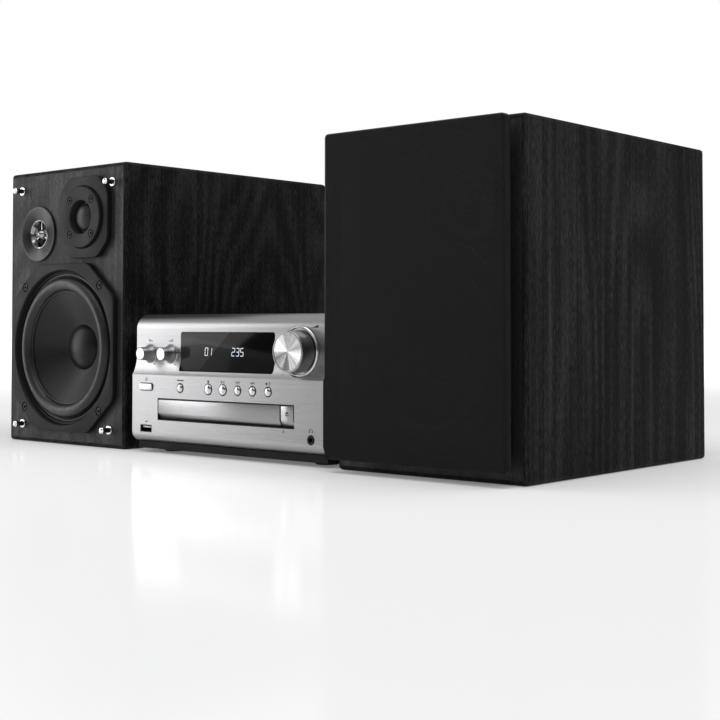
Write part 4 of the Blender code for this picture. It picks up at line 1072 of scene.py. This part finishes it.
def printing():
    """Plain symbols by the controls."""
    square = [(-0.9, -0.9), (0.9, -0.9), (0.9, 0.9), (-0.9, 0.9)]
    right = [(-0.8, -0.95), (0.9, 0), (-0.8, 0.95)]
    left = [(0.8, -0.95), (0.8, 0.95), (-0.9, 0)]
    upright = strip((0, -0.75), (0, 0.75))
    above = ROW + 6 * MM
    shapes = {
        "stop": [square],
        "play": [shifted(right, -1.3), shifted(upright, 0.6), shifted(upright, 1.6)],
        "previous": [shifted(upright, -2), shifted(left, -0.7), shifted(left, 1.2)],
        "next": [shifted(right, -1.2), shifted(right, 0.7), shifted(upright, 2)],
        "selector": [shifted(strip((-0.5, 0), (0.5, 0), 0.9), offset) for offset in (-3, -1, 1, 3)],
        "pairing": [shifted(square, -1.6), bow(1.2, -50, 50), bow(2.2, -50, 50)],
    }
    prints = [(centre(f"{name}_button").x, above, drawn) for name, drawn in shapes.items()]
    prints.append((centre("power_button").x, above, [bow(1.1, -240, 60), strip((0, 0.3), (0, 1.4))]))
    minus, plus = strip((-0.7, 0), (0.7, 0)), strip((0, -0.7), (0, 0.7))
    for x, z, signs in (
        (-95.8, 70.8, [minus]), (-82.9, 70.8, [minus, plus]), (-71.5, 70.9, [minus]), (-58.1, 70.9, [minus, plus]),
        (62.9, 65.8, [minus]), (90.4, 65.8, [minus, plus]),
    ):
        prints.append((MIDDLE_X + x * MM, z * MM, signs))
    for knob, heights in zip(TONES, ((1.9, 1.4, 0.9, 0.5), (0.5, 0.9, 1.4, 1.9))):
        ends = [(i * 1.3 - 1.95, tall - 0.9) for i, tall in enumerate(heights)]
        prints.append((knob.x, 90.2 * MM, [strip((x, -0.9), (x, top), 0.6) for x, top in ends]))
    cans = [strip((side * 1.5, -0.9), (side * 1.5, 0), 0.8) for side in (-1, 1)]
    eject = centre("eject_button").x
    prints += [
        (VOLUME.x + 14 * MM, 101.4 * MM, [[(-3, -0.9), (3, -0.9), (3, 1)]]),
        (centre("headphone_socket").x, 26.2 * MM, [bow(1.5, 0, 180), *cans]),
        (centre("usb_socket").x + 1.2 * MM, 25 * MM, [right, strip((-2, 0), (-0.4, 0))]),
        (eject - 3.4 * MM, 24.6 * MM, [[(-0.9, 0), (0.9, 0), (0, 1.2)], strip((-0.8, -0.55), (0.8, -0.55))]),
    ]
    marks = [mark(points, x, z) for x, z, drawn in prints for points in drawn]
    dress(merge("panel_print", marks), UNIT, "print")
    drawn = ([(-1.7, -0.3), (1.7, -0.3), (0, 2.1)], strip((-1.5, -1.3), (1.5, -1.3), 0.7))
    dress(merge("eject_print", [mark(points, eject, 37.6 * MM) for points in drawn]), "eject", "print")


def case():
    """The cover's and the rear panel's screws, and the feet."""
    for node, look in (("top_cover", "steel"), ("base_pan", "pan"), ("rear_panel", "steel")):
        repaint(node, look)
    rear = back_of("rear_panel") - 0.6 * MM
    head = [(0, -0.7), (2.6, -0.7), (2.6, -0.2), (1.9, 0.3), (0, 0.4)]
    places = ((-99, 105), (0, 106), (99, 105), (-99, 8), (99, 8), (-99, 50), (99, 50), (44, 23))
    screws = [
        cross_screw(head, on_face(MIDDLE_X + x * MM, rear, z * MM), 1.4, 0.28, -0.3, 0.8) for x, z in places
    ]
    dress(merge("rear_screws", screws), UNIT, "bare")
    profile = [(0, 2.7), (9, 2.7), (9, 0.9), (8.7, 0.3), (8.1, 0), (6.2, 0), (5.9, 0.3), (0, 0.3)]
    for place in ("front", "rear"):
        for side in SIDES:
            node = f"foot_{place}_{side}"
            middle = centre(node)
            foot = turned(f"{node}_pad", profile, (middle.x, middle.y, 0), 64, facing="up")
            dress(foot, UNIT, "foot", (node,))


def socket_row(node, name, count):
    """A moulded block for a row of sockets, and the places of the sockets on it."""
    low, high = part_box(node)
    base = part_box("rear_panel")[1].y + 1.2 * MM
    dress(block(name, low, (high.x, base, high.z), 0.5 * MM), UNIT, "moulding", (node,))
    pitch = (high.x - low.x) / count
    return [Vector((low.x + (i + 0.5) * pitch, base, (low.z + high.z) / 2)) for i in range(count)]


def rear_sockets():
    node = "mains_inlet"
    box, middle = size(node), centre(node)
    back, place = back_of(node), (middle.x, middle.z)
    inlet = slab("inlet", rounded(box.x, box.z, 1.2 * MM), front_of(node), back, place, 0.4 * MM)
    mouth = slab("mouth", rounded(16 * MM, 8.8 * MM, 4.2 * MM), back + 11.5 * MM, back - 5 * MM, place)
    dress(carve(inlet, mouth), UNIT, "moulding", (node,))
    pin = [(0, 0), (1.15, 0), (1.15, 8.6), (0.7, 9.4), (0, 9.5)]
    pins = [
        turned("pin", pin, on_face(middle.x + side * 4.3 * MM, back + 11.7 * MM, middle.z), 24, facing=1)
        for side in (-1, 1)
    ]
    dress(merge("inlet_pins", pins), UNIT, "trim")

    cap = [(0, 11.7), (3.6, 11.7), (4.8, 10.8), (5, 10), (5, 2.8), (4.6, 2.4), (0, 2.4)]
    post = [(0, 0), (3.4, 0), (3.4, 2.4), (0, 2.4)]
    places = socket_row("speaker_terminals", "terminal_block", 4)
    caps = [turned("cap", cap, place, 12, facing=1, sharp=20) for place in places]
    metal = [turned("post", post, place, 32, facing=1) for place in places]
    dress(merge("unit_posts_red", caps[1::2]), UNIT, "red")
    dress(merge("unit_posts_black", caps[::2]), UNIT, "smooth")
    dress(merge("unit_posts_metal", metal), UNIT, "brass")

    sleeve = [(1.7, -0.2), (1.7, 8.6), (2.2, 8.8), (4.0, 8.8), (4.15, 8.4), (4.15, 0), (4.15, -0.2)]
    ring = [(4.3, -0.1), (6, -0.1), (6, 0.35), (5.7, 0.6), (4.6, 0.6), (4.3, 0.35)]
    barrels = []
    for place, look in zip(socket_row("line_sockets", "line_block", 3), ("white", "red", "smooth")):
        barrels.append(turned("barrel", sleeve, place, 48, closed=True, facing=1))
        dress(turned(f"line_ring_{look}", ring, place, 48, closed=True, facing=1), UNIT, look)
    dress(merge("line_barrels", barrels), UNIT, "trim")


def loader():
    """What shows when the tray is out, and the works inside."""
    repaint("disc_tray", "smooth")
    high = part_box("disc_tray")[1]
    middle = Vector((centre("spindle").x, BAFFLE_Y + 67 * MM, 0))
    top, floor = high.z / MM, 32.0
    rings = []
    for radius, width, crest in ((60.6, 1.6, top + 0.12), (40.2, 0.7, floor + 0.45)):
        edge = radius + width
        profile = [
            (radius - 0.3, floor - 0.1), (radius, crest - 0.25), (radius + 0.25, crest), (edge, crest),
            (edge + 0.2, crest - 0.15), (edge + 0.2, floor - 0.1),
        ]
        rings.append(turned("well", profile, middle, 160, closed=True, facing="up"))
    well = merge("disc_tray_wells", rings)
    half = 17 * MM  # half the width of the slot that the pickup looks through
    slot = block("slot", (middle.x - half, middle.y - half, 0), (middle.x + half, high.y + 5 * MM, 60 * MM))
    dress(carve(well, slot), "tray", "smooth")
    for node, look in {
        "disc_deck": "moulding", "clamp_bridge": "bare", "disc_clamp": "smooth", "traverse": "bare",
        "pickup_sled": "smooth", "spindle": "smooth", "loading_gear": "nylon", "front_board": "board",
        "main_board": "board", "power_supply": "bare", "heat_sink": "bare",
    }.items():
        repaint(node, look)


for make in (
    front_panel, display, volume_control, tone_controls, buttons, tray, front_sockets, printing, case,
    rear_sockets, loader,
):
    make()


# ---------------------------------------------------------------- floor, light and camera


def join(tree, pairs):
    for source, target in pairs:
        tree.links.new(source, target)


def floor():
    """A pale, slightly glossy floor that brightens with distance, so that it has no horizon."""
    work = bmesh.new()
    bmesh.ops.create_grid(work, x_segments=1, y_segments=1, size=40)
    ground = mesh_object("floor", work, (0, 0, -0.05 * MM))
    material = bpy.data.materials.new("pale_floor")
    material.use_nodes = True
    tree = material.node_tree
    tree.nodes.clear()
    matt = add_node(tree, "ShaderNodeBsdfDiffuse", {"Color": (0.95, 0.95, 0.955, 1)})
    sheen = add_node(tree, "ShaderNodeBsdfGlossy", {"Color": (1, 1, 1, 1), "Roughness": 0.12})
    mixed = add_node(tree, "ShaderNodeMixShader", {"Fac": 0.28})
    lift = add_node(tree, "ShaderNodeEmission")
    distance = add_node(tree, "ShaderNodeVectorMath", operation="LENGTH")
    limits = zip(RANGE, (0.45, 2.2, 0.15, 0.8))
    sweep = add_node(tree, "ShaderNodeMapRange", limits, interpolation_type="SMOOTHSTEP")
    coords = add_node(tree, "ShaderNodeTexCoord")
    total = add_node(tree, "ShaderNodeAddShader")
    out = add_node(tree, "ShaderNodeOutputMaterial")
    join(tree, (
        (coords.outputs["Object"], distance.inputs[0]),
        (distance.outputs["Value"], sweep.inputs["Value"]),
        (sweep.outputs["Result"], lift.inputs["Strength"]),
        (matt.outputs[0], mixed.inputs[1]),
        (sheen.outputs[0], mixed.inputs[2]),
        (mixed.outputs[0], total.inputs[0]),
        (lift.outputs[0], total.inputs[1]),
        (total.outputs[0], out.inputs["Surface"]),
    ))
    ground.data.materials.append(material)


def dome():
    """A soft studio dome: bright overhead and dim at the sides, with a white background."""
    world = bpy.data.worlds.new("studio")
    bpy.context.scene.world = world
    world.use_nodes = True
    tree = world.node_tree
    tree.nodes.clear()
    coords = add_node(tree, "ShaderNodeTexCoord")
    parts = add_node(tree, "ShaderNodeSeparateXYZ")
    limits = zip(RANGE, (0.1, 0.8, 0.1, 0.95))
    ramp = add_node(tree, "ShaderNodeMapRange", limits, interpolation_type="SMOOTHSTEP")
    light = add_node(tree, "ShaderNodeBackground")
    back = add_node(tree, "ShaderNodeBackground", {"Color": (1, 1, 1, 1)})
    path = add_node(tree, "ShaderNodeLightPath")
    mixed = add_node(tree, "ShaderNodeMixShader")
    out = add_node(tree, "ShaderNodeOutputWorld")
    join(tree, (
        (coords.outputs["Generated"], parts.inputs[0]),
        (parts.outputs["Z"], ramp.inputs["Value"]),
        (ramp.outputs["Result"], light.inputs["Strength"]),
        (path.outputs["Is Camera Ray"], mixed.inputs["Fac"]),
        (light.outputs[0], mixed.inputs[1]),
        (back.outputs[0], mixed.inputs[2]),
        (mixed.outputs[0], out.inputs["Surface"]),
    ))


def softbox(name, place, target, width, height, power):
    lamp_data = bpy.data.lights.new(name, "AREA")
    lamp_data.shape = "RECTANGLE"
    lamp_data.size, lamp_data.size_y = width, height
    lamp_data.energy = power
    made = bpy.data.objects.new(name, lamp_data)
    made.location = place
    made.rotation_euler = (Vector(target) - Vector(place)).to_track_quat("-Z", "Y").to_euler()
    made.visible_camera = False
    bpy.context.scene.collection.objects.link(made)


def camera():
    data = bpy.data.cameras.new("camera")
    data.lens = 67.195
    data.shift_x, data.shift_y = -0.0311, -0.1015
    made = bpy.data.objects.new("camera", data)
    made.location = (0.7595, BAFFLE_Y - 0.7080, 0.1016)
    made.rotation_euler = (math.radians(91.67), 0, math.radians(40.27))
    bpy.context.scene.collection.objects.link(made)
    bpy.context.scene.camera = made


floor()
dome()
softbox("left_softbox", (-1.6, -1.05, 0.5), (0, -0.1, 0.1), 0.8, 1.0, 10)
softbox("right_rear_softbox", (1.6, 1.5, 0.9), (0.25, 0, 0.1), 0.9, 1.2, 0.5)
softbox("overhead", (0.1, -0.5, 1.6), (0, -0.05, 0.1), 1.4, 1.0, 9)
softbox("side_fill", (0.42, 0.1, 1.0), (-0.12, 0.02, 0.12), 0.5, 0.5, 2.2)
camera()
bpy.context.scene.view_settings.view_transform = "Standard"

bpy.context.view_layer.update()
